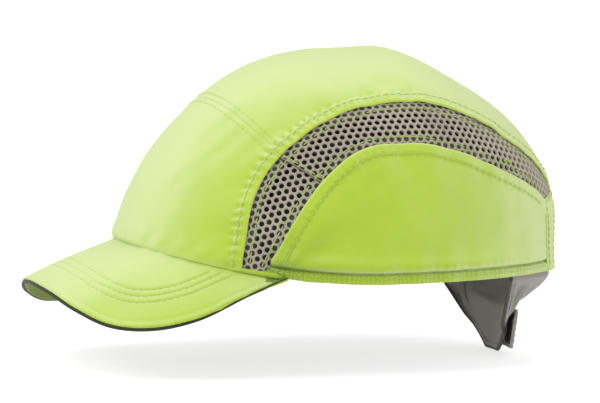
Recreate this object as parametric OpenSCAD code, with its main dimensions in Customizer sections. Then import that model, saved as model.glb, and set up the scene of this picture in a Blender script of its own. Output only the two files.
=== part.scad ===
// Bump cap: a soft cap with a short stiffened brim, side ventilation
// stripes, a removable protective liner and an adjustable nape strap.
// Millimetres. Front is -Y, the wearer's left is +X, up is +Z.
// The origin is the centre of the head opening, level with the side hem.

/* [Crown] */
// Front reach of the crown shape at the hem
front_reach = 110.9; // [100:0.1:118]
// Rear reach of the crown shape at the hem
rear_reach = 106.3; // [98:0.1:114]
// Half width of the crown at the hem
half_width = 87; // [82:0.5:92]
// Height of the crown above the shape's base plane, which is 2 mm under the side hem
crown_height = 107.9; // [100:0.1:116]
// How far the crown's peak sits behind the centre
peak_shift = 23.4; // [18:0.1:28]
// Rise of the hem at the front, above the side hem
hem_front_rise = 16; // [12:0.5:20]
// Thickness of the outer fabric panels
fabric_t = 1.2; // [0.8:0.1:1.4]
// Angle of the seam across the front, from the forehead up
front_seam_angle = 52.3; // [48:0.1:58]

/* [Ventilation stripes] */
// Upper edge of the stripe, angle from the side axis, every 20 degrees over the crown
stripe_upper = [44.3, 45.7, 49.4, 51.2, 53.4, 54.8, 56.5, 61.5, 75, 90];
// Lower edge of the stripe, angle from the side axis, every 20 degrees over the crown
stripe_lower = [39.5, 36.4, 36.1, 38.3, 41.5, 42.6, 44.7, 50.2, 64.5, 82];

/* [Rear opening] */
// Half width of the rear opening
opening_half_width = 40; // [36:0.5:42]
// Height of the rear opening
opening_height = 31; // [26:0.5:32]
// Half width of the binding around the rear opening
binding_half_width = 49.5; // [48:0.5:52]
// Height of the binding's top corners
binding_corner_height = 35.3; // [34:0.1:37]
// Extra height of the binding at the middle
binding_crown = 4; // [3:0.5:5]

/* [Brim] */
// Outer edge of the brim, from the tip to where it meets the hem
brim_edge = [[0, -153, -1.3], [24, -150, -4], [45, -143, -10.2], [60, -130.5, -16.6], [70.5, -114, -17.6], [76.5, -95, -14], [79.5, -73, -6], [80.6, -49.5, 2.2]];
// Thickness of each fabric cover on the brim
brim_cover_t = 0.8; // [0.6:0.1:1]
// Thickness of the stiffening board in the brim
brim_board_t = 1.2; // [1:0.1:1.6]

/* [Sweatband and liner] */
// Height of the sweatband
sweatband_height = 29; // [24:1:32]
// Thickness of the sweatband
sweatband_t = 2.4; // [2:0.1:2.6]
// Thickness of the protective shell
shell_t = 2.2; // [1.8:0.1:2.4]
// Thickness of the foam pads
foam_t = 4.6; // [4:0.1:6]
// Width of each round hook and loop patch
patch_d = 18; // [14:1:20]

/* [Nape strap] */
// Depth of the nape strap under the side hem
nape_drop = 43; // [38:1:46]
// Height of the band at the middle of the nape
nape_band = 23; // [20:1:26]
// Radius of the nape band around the neck
nape_r = 65; // [60:1:80]
// Thickness of the nape flaps
flap_t = 1.8; // [1.4:0.1:2.2]
// Height of the closing strap
strap_h = 19; // [16:0.5:20]
// Thickness of the closing strap
strap_t = 1.4; // [1.2:0.1:1.8]

/* [Hidden] */
zo = 2;
ms = 2.6; ks = 2.3; nn = 2.15; mf = 1.905; kf = 3.49; mr = 2.61; kr = 1.078; my = 1.53;
gap = 0.8;
lime = [0.78, 0.88, 0.45];
mesh_grey = [0.72, 0.69, 0.64];
grey = [0.42, 0.41, 0.39];
dark = [0.16, 0.17, 0.16];
foam_c = [0.22, 0.23, 0.24];

// ---------- shape of the crown ----------
function clamp(v, a, b) = min(max(v, a), b);
function lerp(a, b, f) = a + (b - a)*f;
// below zero inside the crown shrunk by t
function g(x, y, z, t) =
    let (h = crown_height - t, zz = z + zo)
    zz >= h ? 1 :
    let (q = clamp(zz/h, 0, 0.999999),
         yy = y - peak_shift*pow(clamp(zz/crown_height, 0, 1), my),
         w = (half_width - t)*pow(1 - pow(q, ms), 1/ks),
         l = yy > 0 ? (rear_reach - t)*pow(1 - pow(q, mr), 1/kr) : (front_reach - t)*pow(1 - pow(q, mf), 1/kf))
    pow(abs(x)/w, nn) + pow(abs(yy)/l, nn) - 1;
// distance from point c along direction d to the crown shrunk by t
function reach(c, d, t, lo = 0, hi = 170, k = 17) =
    k == 0 ? (lo + hi)/2 :
    let (m = (lo + hi)/2)
    g(c[0] + d[0]*m, c[1] + d[1]*m, c[2] + d[2]*m, t) < 0 ? reach(c, d, t, m, hi, k - 1) : reach(c, d, t, lo, m, k - 1);
cen = [0, 0, -zo];
// crown point at angle lam over the head from the forehead and kap from the side axis
function cp(lam, kap, t = 0) =
    let (d = [cos(kap), -sin(kap)*cos(lam), sin(kap)*sin(lam)])
    cen + d*reach(cen, d, t);
// crown point at bearing th and height z
function hp(th, z, t = 0) =
    let (d = [cos(th), sin(th), 0], c = [0, 0, z])
    c + d*reach(c, d, t);
// crown point on the rear at x and height z
function rp(x, z, t = 0) =
    let (c = [x, 10, z])
    c + [0, 1, 0]*reach(c, [0, 1, 0], t);
// height of the hem
function hem(y) = y < 0 ? hem_front_rise*pow(-y/108.5, 2.2) : 0;
// crown point on the hem line at bearing th, raised by up
function hemp(th, up = 0, t = 0, k = 4, z = 4) =
    let (p = hp(th, z, t))
    k == 0 ? p : hemp(th, up, t, k - 1, hem(p[1]) + up);
// smooth curve through evenly spaced values
function crv(v, s) =
    let (n = len(v), i = clamp(floor(s), 0, n - 2), u = s - i,
         p1 = v[i], p2 = v[i + 1],
         p0 = i == 0 ? 2*p1 - p2 : v[i - 1], p3 = i == n - 2 ? 2*p2 - p1 : v[i + 2])
    0.5*(2*p1 + (p2 - p0)*u + (2*p0 - 5*p1 + 4*p2 - p3)*u*u + (-p0 + 3*p1 - 3*p2 + p3)*u*u*u);
function ku(lam) = crv(stripe_upper, lam/20);
function kl(lam) = crv(stripe_lower, lam/20);
// height of the top of the rear binding
function btop(x) = binding_corner_height + binding_crown*(1 - pow(abs(x)/binding_half_width, 2));

// ---------- grids ----------
// one closed slab between two equal grids of points
module slab(A, B, flip = false) {
    nu = len(A);
    nv = len(A[0]);
    n = nu*nv;
    f = concat(
        [for (i = [0:nu - 2], j = [0:nv - 2]) each [[i*nv + j, i*nv + j + 1, (i + 1)*nv + j + 1], [i*nv + j, (i + 1)*nv + j + 1, (i + 1)*nv + j]]],
        [for (i = [0:nu - 2], j = [0:nv - 2]) each [[n + i*nv + j, n + (i + 1)*nv + j + 1, n + i*nv + j + 1], [n + i*nv + j, n + (i + 1)*nv + j, n + (i + 1)*nv + j + 1]]],
        [for (j = [0:nv - 2]) each [[j, n + j, n + j + 1], [j, n + j + 1, j + 1]]],
        [for (j = [0:nv - 2]) let (a = (nu - 1)*nv + j) each [[a, n + a + 1, n + a], [a, a + 1, n + a + 1]]],
        [for (i = [0:nu - 2]) let (a = i*nv, b = (i + 1)*nv) each [[a, n + b, n + a], [a, b, n + b]]],
        [for (i = [0:nu - 2]) let (a = i*nv + nv - 1, b = (i + 1)*nv + nv - 1) each [[a, n + a, n + b], [a, n + b, b]]]);
    polyhedron(points = concat([for (r = A) each r], [for (r = B) each r]),
               faces = flip ? [for (q = f) [q[2], q[1], q[0]]] : f, convexity = 6);
}
function unit(v) = v/max(norm(v), 1e-9);
function normal_at(G, i, j) =
    let (nu = len(G), nv = len(G[0]),
         a = G[min(i + 1, nu - 1)][j] - G[max(i - 1, 0)][j],
         b = G[i][min(j + 1, nv - 1)] - G[i][max(j - 1, 0)])
    unit(cross(a, b));
// grid moved along its own normals
function shifted(G, d) = [for (i = [0:len(G) - 1]) [for (j = [0:len(G[0]) - 1]) G[i][j] + normal_at(G, i, j)*d]];

// angle over the head where the crown crosses the hem, along the line kap(f)
function kmix(f, lam) = f <= 1 ? lerp(kl(lam), ku(lam), f) : lerp(ku(lam), 180 - ku(lam), f - 1);
function lam_hem(f, up = 0, a = 2, b = 22, k = 13) =
    let (m = (a + b)/2)
    k == 0 ? m :
    let (p = cp(m, kmix(f, m)))
    p[2] - hem(p[1]) - up > 0 ? lam_hem(f, up, a, m, k - 1) : lam_hem(f, up, m, b, k - 1);
function lam_back(f, a = 140, b = 172, k = 13) =
    let (m = (a + b)/2)
    k == 0 ? m :
    let (p = cp(m, kmix(f, m)))
    p[2] > btop(p[0]) + gap ? lam_back(f, m, b, k - 1) : lam_back(f, a, m, k - 1);

// f runs 0 to 1 across the stripe and 1 to 2 across the middle panels
function patch_grid(f0, f1, nf, nl, t, from_hem, to_back, l0 = 0, l1 = 0) =
    [for (i = [0:nf])
        let (f = lerp(f0, f1, i/nf),
             a = from_hem ? lam_hem(f) : l0,
             b = to_back ? lam_back(f) : l1)
        [for (j = [0:nl]) let (lam = lerp(a, b, j/nl)) cp(lam, kmix(f, lam), t)]];

module front_panel() {
    color(lime)
    slab(patch_grid(1.004, 1.996, 24, 9, 0, true, false, 0, front_seam_angle - 0.1),
         patch_grid(1.004, 1.996, 24, 9, fabric_t, true, false, 0, front_seam_angle - 0.1));
}
module crown_panel() {
    color(lime)
    slab(patch_grid(1.004, 1.996, 22, 17, 0, false, true, front_seam_angle + 0.1),
         patch_grid(1.004, 1.996, 22, 17, fabric_t, false, true, front_seam_angle + 0.1));
}
module stripe() {
    slab(patch_grid(0.03, 0.975, 5, 34, 0.15, true, true),
         patch_grid(0.03, 0.975, 5, 34, fabric_t, true, true));
}
module mesh_panel_left() { color(mesh_grey) stripe(); }
module mesh_panel_right() { color(mesh_grey) mirror([1, 0, 0]) stripe(); }

// side panel: between the hem and the stripe's lower edge
function side_grid(t) =
    let (a = lam_hem(-0.045) + 1.2, b = lam_back(0), A = cp(a, kl(a)), th0 = atan2(A[1], A[0]) - 0.1,
         e = rp(binding_half_width + gap, 0), th1 = atan2(e[1], e[0]))
    [for (i = [0:26])
        let (s = i/26, lam = lerp(a, b, pow(s, 0.92)), th = lerp(th0, th1, s),
             p = hemp(th, 0), q = cp(lam, kmix(-0.045, lam)))
        [for (j = [0:8]) let (v = j/8, m = lerp(p, q, v), d = unit(m - cen), r = cen + d*reach(cen, d, t)) r]];
module side_panel() { slab(side_grid(0), side_grid(fabric_t), true); }
module side_panel_left() { color(lime) side_panel(); }
module side_panel_right() { color(lime) mirror([1, 0, 0]) side_panel(); }

// binding around the rear opening
function bind_out() = concat(
    [for (i = [0:7]) [binding_half_width, binding_corner_height*i/8]],
    [for (i = [0:20]) let (x = binding_half_width*(1 - i/10)) [x, btop(x)]],
    [for (i = [7:-1:0]) [-binding_half_width, binding_corner_height*i/8]]);
function bind_in() = concat(
    [for (i = [0:7]) let (z = opening_height*0.78*i/8) [opening_half_width*pow(1 - pow(z/opening_height, 4.5), 1/4.5), z]],
    [for (i = [0:20]) let (a = lerp(0, 1, abs(1 - i/10)), z0 = opening_height*0.78,
                           x = opening_half_width*pow(1 - pow(0.78, 4.5), 1/4.5)*(1 - i/10))
        [x, opening_height*pow(1 - pow(abs(x)/opening_half_width, 4.5), 1/4.5)]],
    [for (i = [7:-1:0]) let (z = opening_height*0.78*i/8) [-opening_half_width*pow(1 - pow(z/opening_height, 4.5), 1/4.5), z]]);
function bind_grid(t) =
    let (o = bind_out(), n = bind_in())
    [for (i = [0:len(o) - 1]) [for (j = [0:2]) let (x = lerp(o[i][0], n[i][0], j/2), z = lerp(o[i][1], n[i][1], j/2)) rp(x, z, t)]];
module rear_binding() { color(lime) slab(bind_grid(-0.7), bind_grid(fabric_t), true); }

// tapes inside the seams
function hem_band(th0, th1, n, z0, z1, nz, t) =
    [for (i = [0:n]) let (th = lerp(th0, th1, i/n)) [for (j = [0:nz]) hemp(th, lerp(z0, z1, j/nz), t)]];
module hem_tape() {
    color(grey) slab(hem_band(57.5, -237.5, 60, 0.2, 6.5, 1, fabric_t + 0.35), hem_band(57.5, -237.5, 60, 0.2, 6.5, 1, fabric_t + 0.85), true);
}
module front_seam_tape() {
    a = front_seam_angle;
    color(grey)
    slab([for (i = [0:24]) let (k = lerp(ku(a) + 4.5, 175.5 - ku(a), i/24)) [cp(a - 3, k, fabric_t + 0.35), cp(a + 3, k, fabric_t + 0.35)]],
         [for (i = [0:24]) let (k = lerp(ku(a) + 4.5, 175.5 - ku(a), i/24)) [cp(a - 3, k, fabric_t + 0.85), cp(a + 3, k, fabric_t + 0.85)]]);
}
function tape_grid(up, t) =
    let (a = 13, b = 154)
    [for (i = [0:44]) let (lam = lerp(a, b, i/44), k = up ? ku(lam) : kl(lam)) [cp(lam, k - 2.4, t), cp(lam, k + 2.4, t)]];
module stripe_tapes() {
    slab(tape_grid(true, fabric_t + 0.35), tape_grid(true, fabric_t + 0.85), true);
    slab(tape_grid(false, fabric_t + 0.35), tape_grid(false, fabric_t + 0.85), true);
}
module stripe_tape_left() { color(grey) stripe_tapes(); }
module stripe_tape_right() { color(grey) mirror([1, 0, 0]) stripe_tapes(); }

// ---------- brim ----------
function brim_out(s) = [let (v = [for (p = concat([[-brim_edge[1][0], brim_edge[1][1], brim_edge[1][2]]], brim_edge)) p]) crv(v, s + 1)][0];
function brim_in(u) =
    let (e = atan2(-51.5, 78.3), th = lerp(-90, e, u), p = hemp(th, 0, 0.6))
    [p[0], p[1], p[2] - 0.6];
function brim_pt(u, v) =
    let (s = sign(u), a = abs(u), p = brim_in(a), q = brim_out(7*pow(a, 1.05)), m = lerp(p, q, v))
    [s*m[0], m[1], m[2] + 1.6*sin(180*v)*(1 - a*a)];
function brim_grid(v0, v1, nv, out = 0) = [for (i = [-20:20]) [for (j = [0:nv]) brim_pt(i/20 + (i == 0 ? 1e-9 : 0), lerp(v0, v1, j/nv))]];
t1 = brim_cover_t;
t2 = brim_cover_t + 0.12;
t3 = t2 + brim_board_t;
t4 = t3 + 0.12;
t5 = t4 + brim_cover_t;
module brim_cover_top() { G = brim_grid(0, 1, 8); color(lime) slab(G, shifted(G, t1), true); }
module brim_board() { G = brim_grid(0.03, 0.965, 7); color(dark) slab(shifted(G, t2), shifted(G, t3), true); }
module brim_edge_trim() { G = brim_grid(0.975, 1.003, 1); color(dark) slab(shifted(G, t2), shifted(G, t3), true); }
module brim_cover_under() { G = brim_grid(0, 1, 8); color(lime) slab(shifted(G, t4), shifted(G, t5), true); }

// ---------- sweatband and liner ----------
sb0 = fabric_t + 1.1;
sb1 = sb0 + sweatband_t;
module sweatband() {
    color(grey)
    slab(hem_band(64, -244, 60, 1.5, 1.5 + sweatband_height, 4, sb0), hem_band(64, -244, 60, 1.5, 1.5 + sweatband_height, 4, sb1), true);
}
lp0 = fabric_t + 1.0;
lp1 = lp0 + 1.3;
hk0 = lp1 + 0.6;
hk1 = hk0 + 1.3;
sh0 = hk1 + 0.2;
sh1 = sh0 + shell_t;
fo0 = sh1 + 0.8;
fo1 = fo0 + foam_t;
patch_at = [[70, 90], [78, 63], [78, 117], [112, 66], [112, 114], [135, 90]];
function round_patch(lam, kap, t, n = 6) =
    [for (i = [0:n]) [for (j = [0:n])
        let (a = i/n*2 - 1, b = j/n*2 - 1,
             u = a*sqrt(1 - b*b/2), v = b*sqrt(1 - a*a/2),
             r0 = norm(cp(lam, kap) - cen), s = patch_d/2/r0*57.3)
        cp(lam + s*u/max(sin(kap), 0.2), kap + s*v, t)]];
module crown_loop_patches() { color(dark) for (p = patch_at) slab(round_patch(p[0], p[1], lp0), round_patch(p[0], p[1], lp1), true); }
module liner_hook_patches() { color(dark) for (p = patch_at) slab(round_patch(p[0], p[1], hk0), round_patch(p[0], p[1], hk1), true); }

// lower edge of the protective shell
function shell_low(y) = y < 0 ? 17 + 14*pow(-y/107, 2) : 17 + 31*(0.5 - 0.5*cos(180*clamp((y - 2)/72, 0, 1)));
sc = [0, 12, 4];
function el_low(th, a = -5, b = 70, k = 12) =
    let (m = (a + b)/2)
    k == 0 ? m :
    let (d = [cos(th)*cos(m), sin(th)*cos(m), sin(m)], p = sc + d*reach(sc, d, sh0))
    p[2] > shell_low(p[1]) ? el_low(th, a, m, k - 1) : el_low(th, m, b, k - 1);
function dome(t, n = 48, m = 9) =
    [for (i = [0:n - 1]) let (th = 360*i/n, e0 = el_low(th))
        [for (j = [0:m - 1]) let (e = lerp(e0, 90, pow(j/m, 0.9)), d = [cos(th)*cos(e), sin(th)*cos(e), sin(e)]) sc + d*reach(sc, d, t)]];
module protective_shell() {
    n = 48;
    m = 13;
    A = dome(sh0, n, m);
    B = dome(sh1, n, m);
    N = n*m;
    up = [0, 0, 1];
    f = concat(
        [for (i = [0:n - 1], j = [0:m - 2]) let (a = i*m + j, b = ((i + 1)%n)*m + j) each [[a, b, b + 1], [a, b + 1, a + 1]]],
        [for (i = [0:n - 1], j = [0:m - 2]) let (a = N + i*m + j, b = N + ((i + 1)%n)*m + j) each [[a, b + 1, b], [a, a + 1, b + 1]]],
        [for (i = [0:n - 1]) let (a = i*m, b = ((i + 1)%n)*m) each [[a, N + a, N + b], [a, N + b, b]]],
        [for (i = [0:n - 1]) let (a = i*m + m - 1, b = ((i + 1)%n)*m + m - 1) each [[a, b, 2*N], [N + b, N + a, 2*N + 1]]]);
    color(dark)
    polyhedron(points = concat([for (r = A) each r], [for (r = B) each r], [sc + up*reach(sc, up, sh0), sc + up*reach(sc, up, sh1)]),
               faces = [for (q = f) [q[2], q[1], q[0]]], convexity = 6);
}
function pad_grid(l0, l1, k0, k1, t, n = 9) =
    [for (i = [0:n]) [for (j = [0:n])
        let (a = i/n*2 - 1, b = j/n*2 - 1, c = 0.12,
             u = a*(1 - c*b*b), v = b*(1 - c*a*a))
        cp(lerp(l0, l1, (u + 1)/2), lerp(k0, k1, (v + 1)/2), t)]];
module pad(l0, l1, k0, k1) { slab(pad_grid(l0, l1, k0, k1, fo0), pad_grid(l0, l1, k0, k1, fo1), true); }
module foam_pad_front() { color(foam_c) pad(24, 52, 60, 120); }
module foam_pad_crown() { color(foam_c) pad(58, 124, 67, 113); }
module foam_pad_left() { color(foam_c) pad(46, 118, 24, 61); }
module foam_pad_right() { color(foam_c) mirror([1, 0, 0]) pad(46, 118, 24, 61); }
module foam_pad_rear() { color(foam_c) pad(131, 150, 66, 114); }

// ---------- nape strap ----------
nz0 = -3.2;
nbt = nape_drop - nape_band;
// the band at the middle curves round the neck and leans with the nape
band_lean = atan2(3.5, nape_band);
yv = [0, cos(band_lean), -sin(band_lean)];
zv = [0, sin(band_lean), cos(band_lean)];
band_mid = [0, 83.2, -(nbt + nape_drop)/2];
nc = band_mid - yv*nape_r;
// point of the band: along it by s, out from it by d, up it by z
function bp(s, d, z) = let (a = s/nape_r*57.29578) nc + (nape_r + d)*([sin(a), 0, 0] + yv*cos(a)) + zv*z;
hb = nape_band/2;
// top edge under the hem, and the fold where the flap turns down into the band
flap_up = [[43, 92.5, nz0], [36, 96, nz0], [29, 98.6, nz0], [21, 100.8, nz0], [14, 102, nz0], [7, 102.7, nz0], [0.4, 103, nz0]];
flap_fold = [[47, 88.6, nz0], [41.5, 88.2, -8.4], [34.5, 85.4, -14.2], [26, 80.8, -18.8], bp(16, 0, hb), bp(8, 0, hb), bp(0.4, 0, hb)];
function flap_bot(s) = let (m = min(s/0.86, 1), w = max(0, (s - 0.86)/0.14))
    lerp(lerp([60, 68.5, nz0], bp(8, 0, -hb), m), bp(0.4, 0, -hb), w);
// near the middle the flap lies on the band's arc
function on_arc(p) =
    let (c = clamp((28 - p[0])/8, 0, 1), w = c*c*(3 - 2*c), q = p - nc, u = [q[0], q*yv], k = lerp(norm(u), nape_r, w)/norm(u))
    nc + [u[0]*k, 0, 0] + yv*(u[1]*k) + zv*(q*zv);
// v runs from the top edge (-1) over the fold (0) to the lower edge (1)
function flap_pt(s, v) =
    let (f = crv(flap_fold, 6*s))
    v < 0 ? lerp(f, crv(flap_up, 6*s), -v) + [0, 2.2*sin(-180*v)*s, 0]
          : on_arc(lerp(f, flap_bot(s), v) + [0, 1.2*sin(180*v)*(1 - s), 0]);
function flap_grid(V) = [for (i = [0:22]) [for (v = V) flap_pt(i/22, v)]];
module flap() { G = flap_grid([-1, -0.66, -0.33, 0, 0.25, 0.5, 0.75, 0.975]); slab(shifted(G, flap_t/2), shifted(G, -flap_t/2)); }
module piping() { G = flap_grid([0.982, 1.03]); slab(shifted(G, flap_t/2 + 0.15), shifted(G, -flap_t/2 - 0.15)); }
module nape_flap_left() { color(grey) flap(); }
module nape_flap_right() { color(grey) mirror([1, 0, 0]) flap(); }
module nape_piping_left() { color(dark) piping(); }
module nape_piping_right() { color(dark) mirror([1, 0, 0]) piping(); }

// a strap on the band with rounded corners: s0 to s1 along it, h high, d0 to d1 out from it
module on_band(s0, s1, h, d0, d1, r) {
    e = [for (a = [0:22.5:90]) r*(1 - cos(a))];
    n = max(2, ceil((s1 - s0 - 2*r)/2.5));
    S = concat([for (k = e) s0 + k], [for (i = [1:n - 1]) lerp(s0 + r, s1 - r, i/n)], [for (i = [len(e) - 1:-1:0]) s1 - e[i]]);
    function hh(s) = let (k = min(s - s0, s1 - s)) k >= r ? h/2 : h/2 - r + sqrt(max(0, r*r - pow(r - k, 2)));
    slab([for (s = S) [bp(s, d1, -hh(s)), bp(s, d1, hh(s))]], [for (s = S) [bp(s, d0, -hh(s)), bp(s, d0, hh(s))]], true);
}
by = flap_t/2 + 0.25;
module loop_tape() { color(dark) on_band(1, 18, strap_h - 4, by, by + 1.1, 2); }
module hook_tape() { color(dark) on_band(3, 20, strap_h - 4, by + 1.35, by + 2.45, 2); }
module closing_strap() { color(grey) on_band(-19, 22, strap_h, by + 2.7, by + 2.7 + strap_t, 4); }
module pull_tab() { color(grey) on_band(22.6, 30.5, 14, by + 2.7, by + 2.7 + strap_t, 3); }

front_panel();
crown_panel();
mesh_panel_left();
mesh_panel_right();
side_panel_left();
side_panel_right();
rear_binding();
hem_tape();
front_seam_tape();
stripe_tape_left();
stripe_tape_right();
brim_cover_top();
brim_board();
brim_edge_trim();
brim_cover_under();
sweatband();
crown_loop_patches();
liner_hook_patches();
protective_shell();
foam_pad_front();
foam_pad_crown();
foam_pad_left();
foam_pad_right();
foam_pad_rear();
nape_flap_left();
nape_flap_right();
nape_piping_left();
nape_piping_right();
loop_tape();
closing_strap();
hook_tape();
pull_tab();
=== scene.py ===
import bpy
import bmesh
import math
import numpy as np
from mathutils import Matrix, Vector


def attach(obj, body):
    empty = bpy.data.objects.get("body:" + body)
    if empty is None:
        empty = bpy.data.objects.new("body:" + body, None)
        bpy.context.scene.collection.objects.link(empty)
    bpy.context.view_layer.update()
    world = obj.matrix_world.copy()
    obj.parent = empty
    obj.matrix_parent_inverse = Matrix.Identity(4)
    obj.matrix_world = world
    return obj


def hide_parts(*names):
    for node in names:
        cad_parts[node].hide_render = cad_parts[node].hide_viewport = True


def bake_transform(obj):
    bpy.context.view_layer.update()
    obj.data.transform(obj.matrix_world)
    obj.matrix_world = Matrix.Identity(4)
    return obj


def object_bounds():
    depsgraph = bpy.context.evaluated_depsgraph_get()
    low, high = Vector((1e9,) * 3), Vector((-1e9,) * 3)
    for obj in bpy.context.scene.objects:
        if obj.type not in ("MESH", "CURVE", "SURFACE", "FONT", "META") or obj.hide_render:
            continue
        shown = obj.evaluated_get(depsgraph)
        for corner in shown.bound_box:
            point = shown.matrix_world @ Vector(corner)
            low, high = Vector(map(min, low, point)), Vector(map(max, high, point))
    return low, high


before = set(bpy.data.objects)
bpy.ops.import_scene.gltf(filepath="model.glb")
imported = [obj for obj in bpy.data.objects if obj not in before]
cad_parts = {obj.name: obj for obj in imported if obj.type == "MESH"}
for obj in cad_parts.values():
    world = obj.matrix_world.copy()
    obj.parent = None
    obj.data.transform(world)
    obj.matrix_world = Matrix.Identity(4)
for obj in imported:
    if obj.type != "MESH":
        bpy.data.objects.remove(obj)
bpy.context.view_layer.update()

MM = 0.001
scene = bpy.context.scene

# ------------------------------------------------------------------ crown shape (millimetres)
ZO = 2.0
LF, LR, HW, HH, PK = 110.9, 106.3, 87.0, 107.9, 23.4
FT = 1.2
KU = np.array([44.3, 45.7, 49.4, 51.2, 53.4, 54.8, 56.5, 61.5, 75.0, 90.0])
KL = np.array([39.5, 36.4, 36.1, 38.3, 41.5, 42.6, 44.7, 50.2, 64.5, 82.0])
SEAM = 52.3
BW, BH, BC = 49.5, 35.3, 4.0
OW, OH = 40.0, 31.0
BRIM = np.array([[0, -153, -1.3], [24, -150, -4], [45, -143, -10.2], [60, -130.5, -16.6], [70.5, -114, -17.6], [76.5, -95, -14], [79.5, -73, -6], [80.6, -49.5, 2.2]], float)
CEN = np.array([0.0, 0.0, -ZO])


def G(P, t=0.0):
    x, y, z = P[..., 0], P[..., 1], P[..., 2] + ZO
    h = HH - t
    q = np.clip(z / h, 0, 0.999999)
    w = (HW - t) * (1 - q ** 2.6) ** (1 / 2.3)
    yf = (LF - t) * (1 - q ** 1.905) ** (1 / 3.49)
    yr = (LR - t) * (1 - q ** 2.61) ** (1 / 1.078)
    yy = y - PK * np.clip(z / HH, 0, 1) ** 1.53
    ll = np.where(yy > 0, yr, yf)
    g = (np.abs(x) / w) ** 2.15 + (np.abs(yy) / ll) ** 2.15 - 1
    return np.where(z >= h, 1.0, g)


def unit(v):
    return v / np.maximum(np.linalg.norm(v, axis=-1, keepdims=True), 1e-12)


def cast(d, t=0.0, C=CEN):
    d = unit(np.asarray(d, float))
    C = np.asarray(C, float)
    lo = np.zeros(d.shape[:-1])
    hi = np.full(d.shape[:-1], 180.0)
    for _ in range(26):
        m = (lo + hi) / 2
        ins = G(C + d * m[..., None], t) < 0
        lo = np.where(ins, m, lo)
        hi = np.where(ins, hi, m)
    return C + d * lo[..., None]


def onto(P, t=0.0):
    return cast(np.asarray(P, float) - CEN, t)


def cp(lam, kap, t=0.0):
    a, b = np.radians(lam), np.radians(kap)
    a, b = np.broadcast_arrays(a, b)
    return cast(np.stack([np.cos(b), -np.sin(b) * np.cos(a), np.sin(b) * np.sin(a)], -1), t)


def hp(th, z, t=0.0):
    a, z = np.broadcast_arrays(np.radians(th), np.asarray(z, float))
    C = np.stack([0 * z, 0 * z, z], -1)
    return cast(np.stack([np.cos(a), np.sin(a), 0 * a], -1), t, C)


def rp(x, z, t=0.0):
    x, z = np.broadcast_arrays(np.asarray(x, float), np.asarray(z, float))
    C = np.stack([x, 10 + 0 * x, z], -1)
    return cast(np.stack([0 * x, 1 + 0 * x, 0 * x], -1), t, C)


def hem(y):
    return np.where(y < 0, 16 * (np.abs(y) / 108.5) ** 1.95, 0.0)


def hemp(th, up=0.0, t=0.0):
    th, up = np.broadcast_arrays(np.asarray(th, float), np.asarray(up, float))
    z = np.full(th.shape, 4.0)
    for _ in range(5):
        p = hp(th, z, t)
        z = hem(p[..., 1]) + up
    return hp(th, z, t)


def crv(v, s):
    v = np.asarray(v, float)
    s = np.asarray(s, float)
    P = np.concatenate([[2 * v[0] - v[1]], v, [2 * v[-1] - v[-2]]])
    i = np.clip(np.floor(s).astype(int), 0, len(v) - 2)
    u = s - i
    if v.ndim > 1:
        u = u[..., None]
    p0, p1, p2, p3 = P[i], P[i + 1], P[i + 2], P[i + 3]
    return 0.5 * (2 * p1 + (p2 - p0) * u + (2 * p0 - 5 * p1 + 4 * p2 - p3) * u * u + (-p0 + 3 * p1 - 3 * p2 + p3) * u ** 3)


def ku(lam):
    return crv(KU, np.asarray(lam, float) / 20)


def kl(lam):
    return crv(KL, np.asarray(lam, float) / 20)


def btop(x):
    return BH + BC * (1 - (np.abs(x) / BW) ** 2)


def lerp(a, b, f):
    return a + (b - a) * f


def kmix(f, lam):
    f, lam = np.broadcast_arrays(np.asarray(f, float), np.asarray(lam, float))
    u, l = ku(lam), kl(lam)
    return np.where(f <= 1, l + (u - l) * f, u + (180 - 2 * u) * (f - 1))


def lam_hem(f, up=0.0):
    f = np.asarray(f, float)
    a = np.full(f.shape, 1.0)
    b = np.full(f.shape, 24.0)
    for _ in range(18):
        m = (a + b) / 2
        p = cp(m, kmix(f, m))
        hi = p[..., 2] - hem(p[..., 1]) - up > 0
        b = np.where(hi, m, b)
        a = np.where(hi, a, m)
    return (a + b) / 2


def lam_back(f, gap=-3.0):
    f = np.asarray(f, float)
    a = np.full(f.shape, 140.0)
    b = np.full(f.shape, 174.0)
    for _ in range(18):
        m = (a + b) / 2
        p = cp(m, kmix(f, m))
        hi = p[..., 2] > btop(p[..., 0]) + gap
        a = np.where(hi, m, a)
        b = np.where(hi, b, m)
    return (a + b) / 2


def smooth(e0, e1, x):
    t = np.clip((x - e0) / (e1 - e0), 0, 1)
    return t * t * (3 - 2 * t)


_r = np.random.RandomState(5)
_NK = [unit(_r.normal(size=(14, 3))) for _ in range(6)]
_NP = [_r.uniform(0, 6.283, 14) for _ in range(6)]
_NS = [_r.uniform(0.75, 1.35, 14) for _ in range(6)]


def noise(P, wl, k=0):
    """smooth noise about -1 to 1, features about wl millimetres"""
    K = _NK[k] * (2 * math.pi / wl) * _NS[k][:, None]
    return np.sin(P @ K.T + _NP[k]).sum(-1) / 4.2


def soft(P):
    """slow unevenness shared by everything sewn to the crown"""
    return 0.42 * noise(P, 70, 0) + 0.20 * noise(P, 27, 1)


def flare(P):
    """the rear corners of the hem stand off a little"""
    return np.where(P[..., 1] > 0, 1.7 * np.exp(-np.maximum(P[..., 2], 0) / 9.0) * smooth(BW + 16, BW, np.abs(P[..., 0])), 0.0)


def nearest(P, Q, S=None):
    """distance from each P to the points Q, and the value S there"""
    sh = P.shape[:-1]
    P = P.reshape(-1, 3)
    D = np.empty(len(P))
    I = np.empty(len(P), int)
    q2 = (Q ** 2).sum(1)
    for a in range(0, len(P), 3000):
        d = (P[a:a + 3000] ** 2).sum(1)[:, None] + q2[None] - 2 * P[a:a + 3000] @ Q.T
        i = d.argmin(1)
        I[a:a + 3000] = i
        D[a:a + 3000] = np.sqrt(np.maximum(d[np.arange(len(i)), i], 0))
    if S is None:
        return D.reshape(sh)
    return D.reshape(sh), S[I].reshape(sh)


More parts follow.
